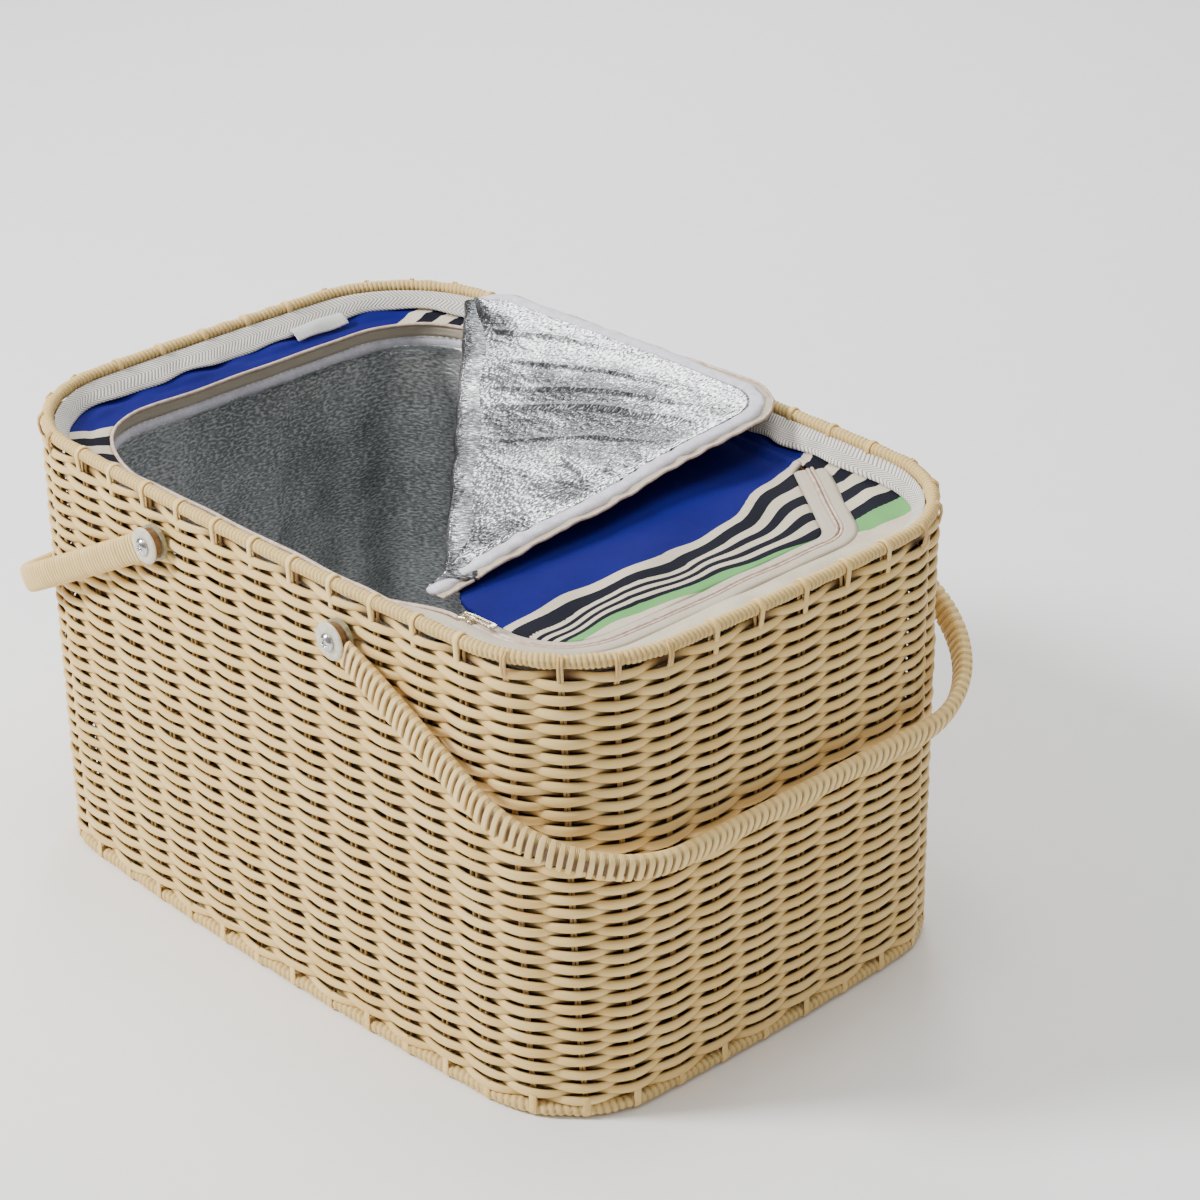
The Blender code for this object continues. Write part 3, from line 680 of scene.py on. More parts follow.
def make_stakes(wire):
    """A pair of wires at each stake, closer together at the corners, where they hook over the rim."""
    shape = Shape()
    across = np.linspace(0, 0.006, 6)
    for heights, points, normals, corner in stake_places():
        if corner:
            hook = np.array(HOOK)
            points = np.vstack([points[:-1], points[-1] + normals[-1] * hook[:, :1]])
            heights = np.concatenate([heights[:-1], RIM_HEIGHT + hook[:, 1]])
            normals = np.vstack([normals[:-1], np.repeat(normals[-1:], len(hook), 0)])
        tangent = np.stack([-normals[:, 1], normals[:, 0]], -1)
        side = np.column_stack([tangent, heights * 0])
        for shift in CORNER_SHIFTS if corner else WIRE_SHIFTS:
            path = np.column_stack([points + tangent * (shift + rng.normal() * 0.0001), heights])
            shape.capped(tube(path, WIRE_RADIUS, 6, ups=side), heights, across)
    for height in (RIM_HEIGHT, BASE_HEIGHT):
        path, _ = evenly(plan_at(height), STAKES * 4)
        ring = np.column_stack([path, np.full(len(path), height)])
        shape.grid(tube(ring, RING_WIRE, 6, closed=True), True, True)
    shape.make("stake_wires", [wire], "stake_frame", "frame_wire")


def make_wound_ring(name, node, height, radius, pitch, cane):
    """A ring wound with cane: each turn is a low ridge, and loops tie it to the stakes."""
    shape = Shape()
    per_turn, sides = 6, 12
    _, length = evenly(plan_at(height), 8)
    count = round(length / pitch) * per_turn
    index = np.arange(count)
    path, _ = evenly(plan_at(height), count)
    away = normals_of(path)
    turn = round_turns(sides)
    place = index[:, None] / per_turn + turn[None, :] / (2 * math.pi)
    hump = np.abs(np.sin(math.pi * place)) ** 0.5
    size = radius - WIND_GROOVE + WIND_RIDGE * hump
    size += WIND_UNEVEN * waves(index, count, 1.0, 60, 40)[:, None]
    points = np.empty((count, sides, 3))
    points[..., :2] = path[:, None, :] + away[:, None, :] * (size * np.cos(turn))[..., None]
    points[..., 2] = height + size * np.sin(turn)
    # Painted shade in the valleys between the turns of the winding.
    shape.grid(points, True, True, index * 0.41, turn * radius, painted_shade=(1 - hump) * 0.6)
    for index, (_, spots, normals, corner) in enumerate(stake_places()):
        if node == "rim_wrap" and not corner:
            rim_tie(shape, spots[-1], normals[-1], index)
        elif node == "base_wrap":
            base_tie(shape, spots[0], normals[0], index)
    shape.make(name, [cane], node, "cane")


def strap(shape, path, ups, width, thickness, tag):
    """A flat strip of cane along a path; ups points out of its face, at each place or at all of them."""
    ups = np.broadcast_to(ups, path.shape)
    side = normalised(np.cross(normalised(np.gradient(path, axis=0)), ups))
    turns = round_turns(8)
    across = signed_power(np.cos(turns), 0.7) * width / 2
    out = np.sin(turns) * thickness / 2
    points = path[:, None, :] + side[:, None, :] * across[:, None] + ups[:, None, :] * out[:, None]
    shape.capped(points, np.arange(len(path)) * 0.002 + tag, across, tag)


def tie(shape, centre, normal, reach, turns, tail, size, tag):
    """A loop of cane over a ring, and on past it along tail, as (outwards, aside, up) from its middle."""
    outward = np.array((*normal, 0.0))
    tangent = np.array((-normal[1], normal[0], 0.0))
    face = [math.cos(turn) * outward + math.sin(turn) * UP for turn in np.radians(turns)]
    ring = [centre + reach * away for away in face]
    ring += [centre + outward * out + tangent * aside + UP * up for out, aside, up in tail]
    face += [outward] * len(tail)
    strap(shape, np.array(ring), np.array(face), *size, tag)


def rim_tie(shape, spot, normal, index):
    """One loop over the rim at a stake, down to the top of the weave."""
    reach = RIM_RADIUS + 0.0003
    slant = rng.normal() * 0.036
    tail = [(reach - drop * 0.10, slant * drop, -drop) for drop in (0.004, 0.008, 0.011, 0.014)]
    centre = np.array((*spot, RIM_HEIGHT))
    tie(shape, centre, normal, reach, np.linspace(205, 0, 12), tail, RIM_STRAP, index * 1.7)


def base_tie(shape, spot, normal, index):
    """One loop under the base ring at a stake, up to the bottom of the weave."""
    tail = [(BASE_RADIUS * 0.9, 0.0, rise) for rise in (0.005, 0.009)]
    centre = np.array((*spot, BASE_HEIGHT))
    tie(shape, centre, normal, BASE_RADIUS, np.linspace(-60, 25, 7), tail, BASE_STRAP, index * 1.3)


# ---------------------------------------------------------------- handles


def handle_line(count):
    """The bail's middle line in its own plane, as (reach, Y), evenly spaced."""
    start = HANDLE_REACH - HANDLE_CORNER
    turns = np.linspace(-math.pi / 2, 0, 24)
    bend = np.array((start, -EYE_Y + HANDLE_CORNER))
    arc = bend + HANDLE_CORNER * np.stack([np.cos(turns), np.sin(turns)], -1)
    near = np.vstack([[(WRAP_START, -EYE_Y)], arc])
    far = near[::-1] * (1, -1)
    return evenly(np.vstack([near, far]), count, closed=False)


def in_handle_frame(sign_x, reach, y, lift):
    droop = HANDLE_DROOPS[sign_x]
    x = PIVOT_X + reach * math.cos(droop) + lift * math.sin(droop)
    z = PIVOT_Z - reach * math.sin(droop) + lift * math.cos(droop)
    return np.stack([sign_x * x, y, z], -1)


def wrap_steps(sign_x):
    """Rows of one turn of winding, as shares of its width, and how deep the valley between turns is at each.
    """
    if sign_x < 0:
        shares = np.array((0.0, 0.07, 0.18, 0.34, 0.5, 0.66, 0.82, 0.93))
        return shares, 1 - np.abs(np.sin(math.pi * shares)) ** 0.55
    shares = np.array((0.0, 0.03, 0.07, 0.16, 0.28, 0.40, 0.52, 0.60, 0.65, 0.69, 0.76, 0.84, 0.91, 0.97))
    return shares, unit(1 - np.minimum(shares, 0.68 - shares) / 0.06)


def winding_depth_and_shade(sign_x, share, valley, cos, sin):
    """How deep the winding is cut between its turns, and how much painted shade darkens it there, by row and
    round the bar.

    The left handle is wound closed. On the right one each turn leaves an open slot on its face.
    """
    if sign_x < 0:
        # Painted shade along each valley of the left handle's winding.
        return valley * WRAP_GROOVE, valley * 0.8
    open_face = unit(0.55 + 0.9 * cos - 0.8 * sin)[None, :]
    seam = unit(1 - np.abs(share - 0.84) / 0.05)
    edge = unit(1 - np.abs(share - 0.65) / 0.05) + unit(1 - share / 0.05)
    fine = unit(seam + edge) * (1 - open_face)
    depth = valley * WRAP_SLOT * open_face + fine * WRAP_GROOVE * 0.7
    # Painted shade: dark in the open slots on the face, lighter along the fine lines.
    return depth, unit(valley * open_face * 1.1 + fine * 0.5)


def make_wrap(end, sign_x, cane):
    """Cane wound round a handle's flat bar, thinner towards its two ends."""
    line, length = handle_line(2000)
    pitch = WRAP_PITCH[sign_x]
    turns = round(length / pitch)
    fractions, valley = wrap_steps(sign_x)
    place = (np.arange(turns)[:, None] + fractions[None, :]).ravel()
    share = np.tile(fractions, turns)[:, None]
    valley = np.tile(valley, turns)[:, None]
    angle = round_turns(28)
    cos, sin = np.cos(angle), np.sin(angle)
    bulge = (np.abs(cos) ** 3 + np.abs(sin) ** 3) ** (1 / 3)
    lean = WRAP_LEAN[sign_x] / pitch * sin[None, :] * (1 + 0.1 * waves(place, turns, 1.0, 30, 4)[:, None])
    wander = waves(place, turns, 0.05, 40, 10)[:, None]
    where = unit((place[:, None] + lean + wander) / turns) * (len(line) - 1)
    low = np.minimum(where.astype(int), len(line) - 2)
    part = (where - low)[..., None]
    centre = line[low] * (1 - part) + line[low + 1] * part
    away = normals_of(line, closed=False)[low]
    loose = 1 + 0.10 * waves(place, turns, 1.0, 50, 30)[:, None]
    depth, shaded = winding_depth_and_shade(sign_x, share, valley, cos, sin)
    depth = depth * loose
    from_end = np.minimum(where, len(line) - 1 - where) / len(line) * length
    thin = WRAP_THINNEST + (1 - WRAP_THINNEST) * unit(from_end / (WRAP_TAPER - WRAP_START)) ** 0.8
    out = (WRAP_SIZE[0] / 2 * thin - depth * thin) * cos / bulge
    lift = (WRAP_SIZE[1] / 2 - depth) * sin / bulge
    spot = centre + away * out[..., None]
    points = in_handle_frame(sign_x, spot[..., 0], spot[..., 1], lift)
    number = np.floor(place)[:, None]
    shape = Shape()
    shape.capped(points, (angle * 0.008)[None, :] + number * 0.37, share * pitch, number * 0.61, shaded)
    shape.make(f"handle_{end}_cane", [cane], f"handle_{end}_wrap", "handle_cane", f"handle_{end}")


# ---------------------------------------------------------------- soft materials


def cloth_material(name):
    """Printed canvas: 'cloth' holds the stripe number, and metres across and along the stripes."""
    n = Nodes(name)
    cloth = n.attribute("cloth")
    stripe = n.parts(cloth)[0]
    place = n.spread(stripe, STRIPE_LOW, STRIPE_HIGH)
    stops = []
    for start, colour in STRIPES:
        share = (start - STRIPE_LOW) / (STRIPE_HIGH - STRIPE_LOW)
        stops.append((max(share, 0.0), INKS[colour]))
    print_colour = n.ramp(place, stops, constant=True)
    patch = n.noise(n.coordinates(), 22.0, 4.0)
    thread = n.noise(n.scaled(cloth, (0.0, 2600.0, 700.0)), 1.0, 1.0)
    weft = n.noise(n.scaled(cloth, (0.0, 700.0, 2600.0)), 1.0, 1.0)
    shade = n.math("MULTIPLY", n.spread(patch, 0.3, 0.7, 0.80, 1.08), n.spread(thread, 0.3, 0.7, 0.86, 1.1))
    colour = n.mix(1.0, print_colour, n.ramp(shade, ((0.0, (0, 0, 0)), (1.0, (1, 1, 1)))), "MULTIPLY")
    weave = n.math("ADD", thread, weft)
    normal = n.bump(weave, 0.0003, 0.6, n.bump(patch, 0.002, 0.35))
    return n.finish(colour, 0.85, normal, Specular_IOR_Level=0.12)


def tape_material(name, light, dark, pitch):
    """Herringbone tape: 'strand' holds metres along and across."""
    n = Nodes(name)
    along, across, _ = n.parts(n.attribute("strand"))
    zigzag = n.math("PINGPONG", across, pitch * 2.2)
    slant = n.math("ADD", along, zigzag)
    rib = n.math("SINE", n.math("MULTIPLY", slant, 2 * math.pi / pitch))
    rib = n.spread(rib, -0.9, 0.9)
    patch = n.noise(n.coordinates(), 60.0, 3.0)
    colour = n.mix(n.spread(rib, 0.05, 0.45), dark, light)
    colour = n.mix(n.spread(patch, 0.45, 0.8, 0.0, 0.35), colour, dark)
    return n.finish(colour, 0.85, n.bump(rib, 0.0003, 0.8), Sheen_Weight=0.2)


def fleece_material(name, light, dark):
    n = Nodes(name)
    where = n.coordinates()
    fluff = n.noise(where, 900.0, 4.0, 0.7)
    lump = n.noise(where, 150.0, 3.0)
    colour = n.ramp(n.spread(n.math("ADD", fluff, lump), 0.7, 1.25), ((0.0, dark), (1.0, light)))
    normal = n.bump(fluff, 0.0006, 0.7, n.bump(lump, 0.001, 0.5))
    return n.finish(colour, 0.95, normal, Sheen_Weight=0.5, Sheen_Roughness=0.4)


def foil_material(name, light, dark, roughness, painted_highlight_bands, tones, least, pits, metal):
    """Embossed metal film: short dashes in patches along 'strand', with painted glints on the dashes, painted
    shade in their pits and painted highlights along any given lines across it; the broad tone is partly
    random and partly painted reflection.
    """
    n = Nodes(name)
    strand = n.attribute("strand")
    dash = n.noise(n.scaled(strand, (360.0, 900.0, 1.0)), 1.0, 1.0, 0.5)
    broad = n.noise(n.scaled(strand, (16.0, 9.0, 1.0)), 1.0, 2.0, 0.5)
    crinkle = n.noise(n.scaled(strand, (70.0, 50.0, 1.0)), 1.0, 3.0, 0.6)
    # Broad tone, partly random and partly painted reflection: dark and pale patches stand for the crinkled
    # foil reflecting the room.
    tone = n.spread(n.math("ADD", broad, n.math("MULTIPLY", crinkle, 0.5)), *tones)
    for axis, middle, width in painted_highlight_bands:
        away = n.math("ABSOLUTE", n.math("SUBTRACT", n.parts(strand)[axis], middle))
        # Painted highlight, palest along each line's middle.
        tone = n.math("ADD", tone, n.spread(away, width * 0.3, width, 0.7, 0.0), True)
    colour = n.mix(tone, dark, light)
    # Painted glints: near white on the dashes, stronger where the tone is pale.
    glint = n.math("MULTIPLY", n.spread(dash, 0.53, 0.62), n.spread(tone, 0.1, 0.7, least, 1.0))
    # Painted shade in the pits of the embossing.
    pit = n.math("MULTIPLY", n.spread(dash, 0.47, 0.38), pits)
    colour = n.mix(glint, colour, FOIL_GLINT)
    colour = n.mix(pit, colour, tuple(c * 0.35 for c in dark))
    rough = n.spread(dash, 0.4, 0.6, roughness + 0.12, roughness)
    normal = n.bump(dash, 0.0007, 0.8, n.bump(crinkle, 0.003, 0.5))
    return n.finish(colour, rough, normal, Metallic=metal)


def metal_material(name, light, dark, roughness=0.22):
    n = Nodes(name)
    scuff = n.noise(n.scaled(n.coordinates(), (900.0, 900.0, 250.0)), 1.0, 3.0)
    colour = n.ramp(scuff, ((0.3, dark), (0.7, light)))
    rough = n.spread(scuff, 0.3, 0.7, roughness - 0.05, roughness + 0.14)
    return n.finish(colour, rough, n.bump(scuff, 0.0001, 0.4), Metallic=1.0)


def plastic_material(name, light, dark):
    n = Nodes(name)
    cloud = n.noise(n.coordinates(), 320.0, 2.0)
    grain = n.noise(n.coordinates(), 2600.0, 2.0)
    colour = n.ramp(cloud, ((0.35, dark), (0.65, light)))
    rough = n.spread(grain, 0.3, 0.7, 0.30, 0.44)
    return n.finish(colour, rough, n.bump(grain, 0.0001, 0.5), Coat_Weight=0.08)


def foam_material(name):
    n = Nodes(name)
    cell = n.voronoi(n.coordinates(), 900.0)
    colour = n.ramp(cell, ((0.1, (0.62, 0.61, 0.58)), (0.6, (0.85, 0.84, 0.80))))
    return n.finish(colour, 0.95, n.bump(cell, 0.0005, 0.8))


# ---------------------------------------------------------------- soft outlines


def rounded(corners):
    """An open outline through corners, each given as X, Y and radius."""
    points = []
    for i, (x, y, radius) in enumerate(corners):
        corner = np.array((x, y))
        if not radius:
            points.append(corner[None])
            continue
        before = normalised(np.array(corners[i - 1][:2]) - corner)
        after = normalised(np.array(corners[i + 1][:2]) - corner)
        half = math.acos(before @ after) / 2
        centre = corner + normalised(before + after) * radius / math.sin(half)
        first = corner + before * radius / math.tan(half) - centre
        turns = np.linspace(0, math.pi - 2 * half, 24)
        arc = [rotated(first, turn) + centre for turn in turns]
        points.append(np.array(arc))
    return np.concatenate(points)


def rotated(point, turn):
    cos, sin = math.cos(turn), math.sin(turn)
    return np.array((point[0] * cos - point[1] * sin, point[0] * sin + point[1] * cos))


def zip_path(count):
    """Points and outward normals along the zip, from its far left end to the far seam, and its length."""
    path, length = evenly(rounded(ZIP_CORNERS), count, closed=False)
    return path, normals_of(path, closed=False), length


def by_azimuth(points, count):
    """A closed outline round the origin, read at even turns about it."""
    fine, _ = evenly(points, 4000)
    turns = np.arctan2(fine[:, 1], fine[:, 0])
    order = np.argsort(turns)
    wanted = -math.pi + (np.arange(count) + 0.5) * 2 * math.pi / count
    reach = np.interp(wanted, turns[order], np.linalg.norm(fine, axis=1)[order], period=2 * math.pi)
    return reach[:, None] * np.stack([np.cos(wanted), np.sin(wanted)], -1)


def stripe_number(x, y):
    """How far across the printed stripes a point of the lid lies; whole numbers are their edges."""
    knots = np.array(STRIPE_KNOTS)
    places = [np.interp(y, knots[:, 0], knots[:, i]) for i in range(1, knots.shape[1])]
    left = LEFT_STRIPES - LEFT_CURVE * y * y
    wobble = 0.0012 * np.sin(y * 70 + 0.6) + 0.0007 * np.sin(y * 163)
    edges = [left + k * LEFT_WIDTH for k in range(9)] + [left + 9.6 * LEFT_WIDTH, left + 11.2 * LEFT_WIDTH]
    edges += places + [places[-1] + 0.060]
    numbers = list(range(-20, -11)) + [-10.5, -9.0] + [0, 1, 2, 8, 9.0, 12.0]
    total = np.full(np.shape(x), numbers[0], float)
    for i in range(len(edges) - 1):
        width = np.maximum(edges[i + 1] - edges[i], 1e-6)
        step = unit((x + wobble - edges[i]) / width)
        total += step * (numbers[i + 1] - numbers[i])
    total += np.minimum(x + wobble - edges[0], 0) / LEFT_WIDTH
    return total


def cloth_marks(obj, plan):
    """Writes each vertex's stripe number and plan place, for the printed canvas."""
    marks = obj.data.attributes.new("cloth", "FLOAT_VECTOR", "POINT")
    x, y = plan.reshape(-1, 2).T
    values = np.stack([stripe_number(x, y), x, y], -1)
    marks.data.foreach_set("vector", values.astype(np.float32).ravel())


def thicken(obj, thickness, offset=-1.0, other=0):
    solid = obj.modifiers.new("thickness", "SOLIDIFY")
    solid.thickness = thickness
    solid.offset = offset
    solid.material_offset = other
    solid.use_even_offset = False



# ---------------------------------------------------------------- liner


def liner_rows(profile, count):
    """Loops down the liner: each is the wall outline at an inset and a height."""
    loops = []
    for inset, height, corner in profile:
        half_x, half_y, radius = LINER_PLAN
        size = max(radius - inset, 0.004)
        radius = min(size + corner, half_y - inset - 0.001)
        outline = rounded_rectangle(half_x - inset, half_y - inset, radius)
        loop = by_azimuth(outline, count)
        loops.append(np.column_stack([loop, np.full(count, height)]))
    return np.array(loops)


def wall_profile(inset, floor, top):
    """Rows as (inset, height, extra corner) from the middle of the floor up the wall."""
    rows = [(inset + reach, floor, 0.02) for reach in (0.125, 0.10, 0.075, 0.05, 0.03, 0.018, 0.010)]
    rows += [(inset + 0.004, floor + 0.0015, 0.0), (inset + 0.001, floor + 0.005, 0.0)]
    heights = np.linspace(floor + 0.012, top, 26)
    return rows + [(inset, height, 0.0) for height in heights]


def padded_tub(name, node, inset, floor, top, material, slot, thickness, swell):
    """A soft tub of even thickness whose walls swell a little between their corners."""
    count = 240
    rows = liner_rows(wall_profile(inset, floor, top), count)
    turn = np.arctan2(rows[..., 1], rows[..., 0])
    share = unit((rows[..., 2] - floor) / (top - floor))
    bow = swell * np.sin(math.pi * share) * (1 + 0.5 * np.sin(turn * 7 + 2 * share))
    rows[..., :2] *= 1 - (bow / np.linalg.norm(rows[..., :2], axis=-1))[..., None]
    shape = Shape()
    lengths = np.arange(len(rows)) * 0.009
    shape.grid(rows, wrap_columns=True, along=lengths, across=np.arange(count) * 0.006)
    shape.face(range(count))
    tub = shape.make(name, [material], node, slot)
    thicken(tub, thickness, 1.0)
    return tub


def foil_folds(height, turn):
    """How far the foil's pleats and slack lie in from its wall."""
    share = unit((FOIL_TOP - height) / FOIL_DEPTH)
    pleat = 0.0016 * np.sin(turn * 23 + 1.5 * np.sin(turn * 5)) + 0.0012 * np.sin(turn * 41 + 2)
    fold = pleat * (0.25 + 0.75 * np.sin(math.pi * share) ** 0.7)
    slack = 0.0014 * np.sin(height * 55 + 3 * np.sin(turn * 3)) + 0.0008 * np.sin(height * 170 + 9 * turn)
    inwards = 0.0026 + fold + slack * unit(share * 5)
    return np.maximum(inwards * unit((FOIL_TOP - height) / 0.02), 0)


def make_foil_lining(foil):
    """The foil inside: from the bound edge out to the wall, down it in soft folds, and over the floor."""
    count = 640
    top = np.column_stack([hole_outline(0.0022, count), np.full(count, FOIL_TOP)])
    walls = liner_rows([(FOIL_INSET + inset, height, corner) for inset, height, corner in FOIL_ROWS], count)
    rows = np.concatenate([top[None], walls])
    rows = np.roll(denser(rows, 3), -count // 4, axis=1)
    turn = np.unwrap(np.arctan2(rows[0, :, 1], rows[0, :, 0]))[None, :]
    height = rows[..., 2].copy()
    flat = np.linalg.norm(rows[..., :2], axis=-1)
    rows[..., 2] -= near_sag(rows[..., 0], rows[..., 1]) * unit((height - 0.190) / 0.040)
    floor = unit((0.024 - height) / 0.006)
    rows[..., :2] *= (1 - foil_folds(height, turn) * (1 - floor) / flat)[..., None]
    rows[..., 2] += floor * 0.0012 * np.sin(flat * 160 + 4 * np.sin(turn * 4))
    down = np.concatenate([[0], np.cumsum(np.linalg.norm(np.diff(rows[:, 0], axis=0), axis=1))])
    level = (rows[..., 2].mean(axis=1) < FOIL_FLOOR)[:, None]
    shape = Shape()
    along = np.where(level, rows[..., 0], turn * 0.21)
    across = np.where(level, rows[..., 1], down[:, None])
    shape.grid(rows, wrap_columns=True, along=along, across=across)
    shape.face(range((len(rows) - 1) * count, len(rows) * count))
    lining = shape.make("liner_foil_lining", [foil], "liner_foil", "foil")
    thicken(lining, 0.0006, 1.0)


def denser(rows, times):
    """A grid with more rows, by straight interpolation."""
    steps = np.linspace(0, len(rows) - 1, (len(rows) - 1) * times + 1)
    low = np.minimum(steps.astype(int), len(rows) - 2)
    part = (steps - low)[:, None, None]
    return rows[low] * (1 - part) + rows[low + 1] * part


def hole_outline(shift, count):
    """The opening's edge at even turns: the zip's line moved outwards, closed along the far seam."""
    path, away, _ = zip_path(800)
    line = path + away * shift
    line[:, 1] = np.minimum(line[:, 1], ZIP_CORNERS[0][1] + 0.0010)
    return by_azimuth(line, count)


def near_sag(x, y):
    """How far the open near edge hangs below the rest of the lid."""
    left = unit((x + 0.195) / 0.045)
    right = unit((0.118 - x) / 0.050)
    near = unit((-0.080 - y) / 0.035)
    return NEAR_SAG * (left * right * near) ** 1.3


def make_margin(cloth):
    """The fixed canvas between the tape and the zip, sloping down with soft creases."""
    count, steps = 720, 14
    outer = by_azimuth(liner_outline(-0.0035, 2000), count)
    inner = hole_outline(0.0025, count)
    shares = np.linspace(0, 1, steps)[:, None, None]
    plan = outer[None] * (1 - shares) + inner[None] * shares
    turn = np.arctan2(outer[:, 1], outer[:, 0])[None, :]
    share = shares[..., 0]
    level = 0.2537 + 0.0050 * (1 - share) ** 8 + 0.0012 * np.sin(math.pi * share)
    level = level - near_sag(plan[..., 0], plan[..., 1]) * share
    crease = 0.0008 * np.sin(17 * turn + 5 * share + np.sin(4 * turn))
    crease += 0.0005 * np.sin(43 * turn - 3 * share)
    calm = unit((0.72 - share) * 5)
    heights = level + crease * calm * np.sin(math.pi * unit(share * 0.9 + 0.08))
    heights -= 0.0007 * unit((share - 0.45) * 6)
    rows = np.dstack([plan, heights])
    shape = Shape()
    shape.grid(rows, wrap_columns=True, along=np.arange(steps) * 0.002, across=np.arange(count) * 0.002)
    margin = shape.make("lid_margin_cloth", [cloth], "lid_margin", "liner_fabric")
    printed_plan = plan.copy()
    near = unit((-0.112 - plan[..., 1]) / 0.012) * unit((plan[..., 0] + 0.10) / 0.03)
    printed_plan[..., 0] += NEAR_PRINT * near
    cloth_marks(margin, printed_plan)
    thicken(margin, 0.0010)


def make_rim_tape(tape):
    """Herringbone tape from inside the rim down to the margin, puckered along its lower edge."""
    count = 1000
    index = np.arange(count)
    head = by_azimuth(plan_at(RIM_HEIGHT), count)
    foot = by_azimuth(liner_outline(0.0012, 2000), count)
    reach = np.linalg.norm(head, axis=1)[:, None]
    head *= (reach - 0.0046) / reach
    pucker = waves(index, count, 0.0010, 34, 12)
    drop = waves(index, count, 0.0004, 34, 10)
    shares = np.linspace(0, 1, 9)
    rows = []
    for share in shares:
        plan = head * (1 - share) + foot * share
        inwards = pucker * share + 0.0010 * math.sin(math.pi * share)
        plan *= 1 - (inwards / np.linalg.norm(plan, axis=1))[:, None]
        height = 0.2668 * (1 - share) + 0.2576 * share + drop * share**2
        rows.append(np.column_stack([plan, height]))
    rows = np.roll(np.array(rows), -count // 4, axis=1)
    shape = Shape()
    along = index[None, :] * 1.50 / count
    shape.grid(rows, wrap_columns=True, along=along, across=shares[:, None] * 0.014)
    band = shape.make("rim_tape_cloth", [tape], "rim_tape", "rim_tape")
    thicken(band, 0.0007)


# ---------------------------------------------------------------- zip


def zipped(path):
    """1 where the lid is zipped shut, 0 along the open left part."""
    return unit((path[:, 0] - 0.098) / 0.030) ** 2 * np.where(path[:, 1] > 0.1352, 0, 1)


def band(path, away, section):
    """A strip along the zip; section holds (shift, height) pairs, for each place or for all of them."""
    section = np.broadcast_to(section, (len(path), *np.shape(section)[-2:]))
    plan = path[:, None, :] + away[:, None, :] * section[..., :1]
    return np.dstack([plan, section[..., 1]])


def zip_half(node, rows, sway, step, tape):
    """One woven half of the zip's tape."""
    rows[..., 2] += sway[:, None]
    shape = Shape()
    across = np.linspace(0, TAPE_WIDTH, rows.shape[1])
    shape.grid(rows, along=np.arange(len(rows)) * step, across=across)
    half = shape.make(f"{node}_cloth", [tape], node, "zip_tape")
    thicken(half, ZIP_CLOTH)


def zip_coil(name, line, radius, teeth, body="basket"):
    """The coil sewn along a zip tape: a fine tube with a ridge for each tooth."""
    index = np.arange(len(line))
    size = radius * (0.86 + 0.14 * np.cos(index * math.pi))
    shape = Shape()
    shape.capped(tube(line, size, 6), index * 0.0008, np.arange(6) * 0.0006)
    shape.make(name, [teeth], None, "zip_tape", body)


def make_zip(tape, teeth):
    """The fixed half of the zip all round the opening, and the lid's half where it is zipped shut."""
    count = 1500
    path, away, length = zip_path(count)
    step = length / count
    sway = waves(np.arange(count), count * 2, 0.0003, 40, 4) - near_sag(path[:, 0], path[:, 1])
    shut = zipped(path)[:, None, None]
    section = np.array(TAPE_OPEN) * (1 - shut) + np.array(TAPE_SHUT) * shut
    zip_half("zip_tape_fixed", band(path, away, section), sway, step, tape)
    line = np.column_stack([path + away * COIL_SHIFT, COIL_HEIGHT + sway])
    zip_coil("zip_coil_fixed", line, COIL_RADIUS, teeth)

    part = (path[:, 0] > SLIDER_X - 0.006) & (path[:, 1] < ZIP_CORNERS[0][1] - 0.0005)
    path, away, sway = path[part], away[part], sway[part]
    zip_half("zip_tape_lid", band(path, away, TAPE_LID), sway, step, tape)
    line = np.column_stack([path - away * COIL_SHIFT, COIL_HEIGHT + sway])
    zip_coil("zip_coil_lid", line, COIL_RADIUS, teeth)


def make_opening_binding(fleece):
    """The fleece roll round the opening, under the fixed half of the zip."""
    count, sides = 700, 14
    path, away, _ = zip_path(count)
    plump = 1 + waves(np.arange(count), count * 2, 0.07, 60, 20)
    middle = np.column_stack([path + away * 0.0042, 0.2425 - near_sag(path[:, 0], path[:, 1])])
    offset = tube(middle, 1.0, sides) - middle[:, None, :]
    offset[..., :2] *= 0.0022 * plump[:, None, None]
    offset[..., 2] *= 0.0040 * plump[:, None]
    shape = Shape()
    shape.capped(middle[:, None, :] + offset, np.arange(count) * 0.0015, np.arange(sides) * 0.001)
    binding = shape.make("opening_binding_fleece", [fleece], "opening_binding", "fleece")


def make_opening_stitches(tape):
    """Short stitches through the zip tape and the binding, all round the opening."""
    count = 700
    index = np.arange(count)
    path, away, length = zip_path(count)
    shape = Shape()
    for start in np.arange(0.004, length - 0.004, 0.0042):
        spots = np.array((start, start + 0.0012, start + 0.0024)) / length * (count - 1)
        centre = np.stack([np.interp(spots, index, path[:, k]) for k in (0, 1)], -1)
        side = np.stack([np.interp(spots, index, away[:, k]) for k in (0, 1)], -1)
        heights = np.array((0.2463, 0.2461, 0.2463)) - near_sag(centre[:, 0], centre[:, 1])
        line = np.column_stack([centre + side * 0.0020, heights])
        shape.capped(tube(line, 0.00028, 5), np.arange(3) * 0.001, np.arange(5) * 0.0003)
    shape.make("opening_stitches", [tape], None, "zip_tape")


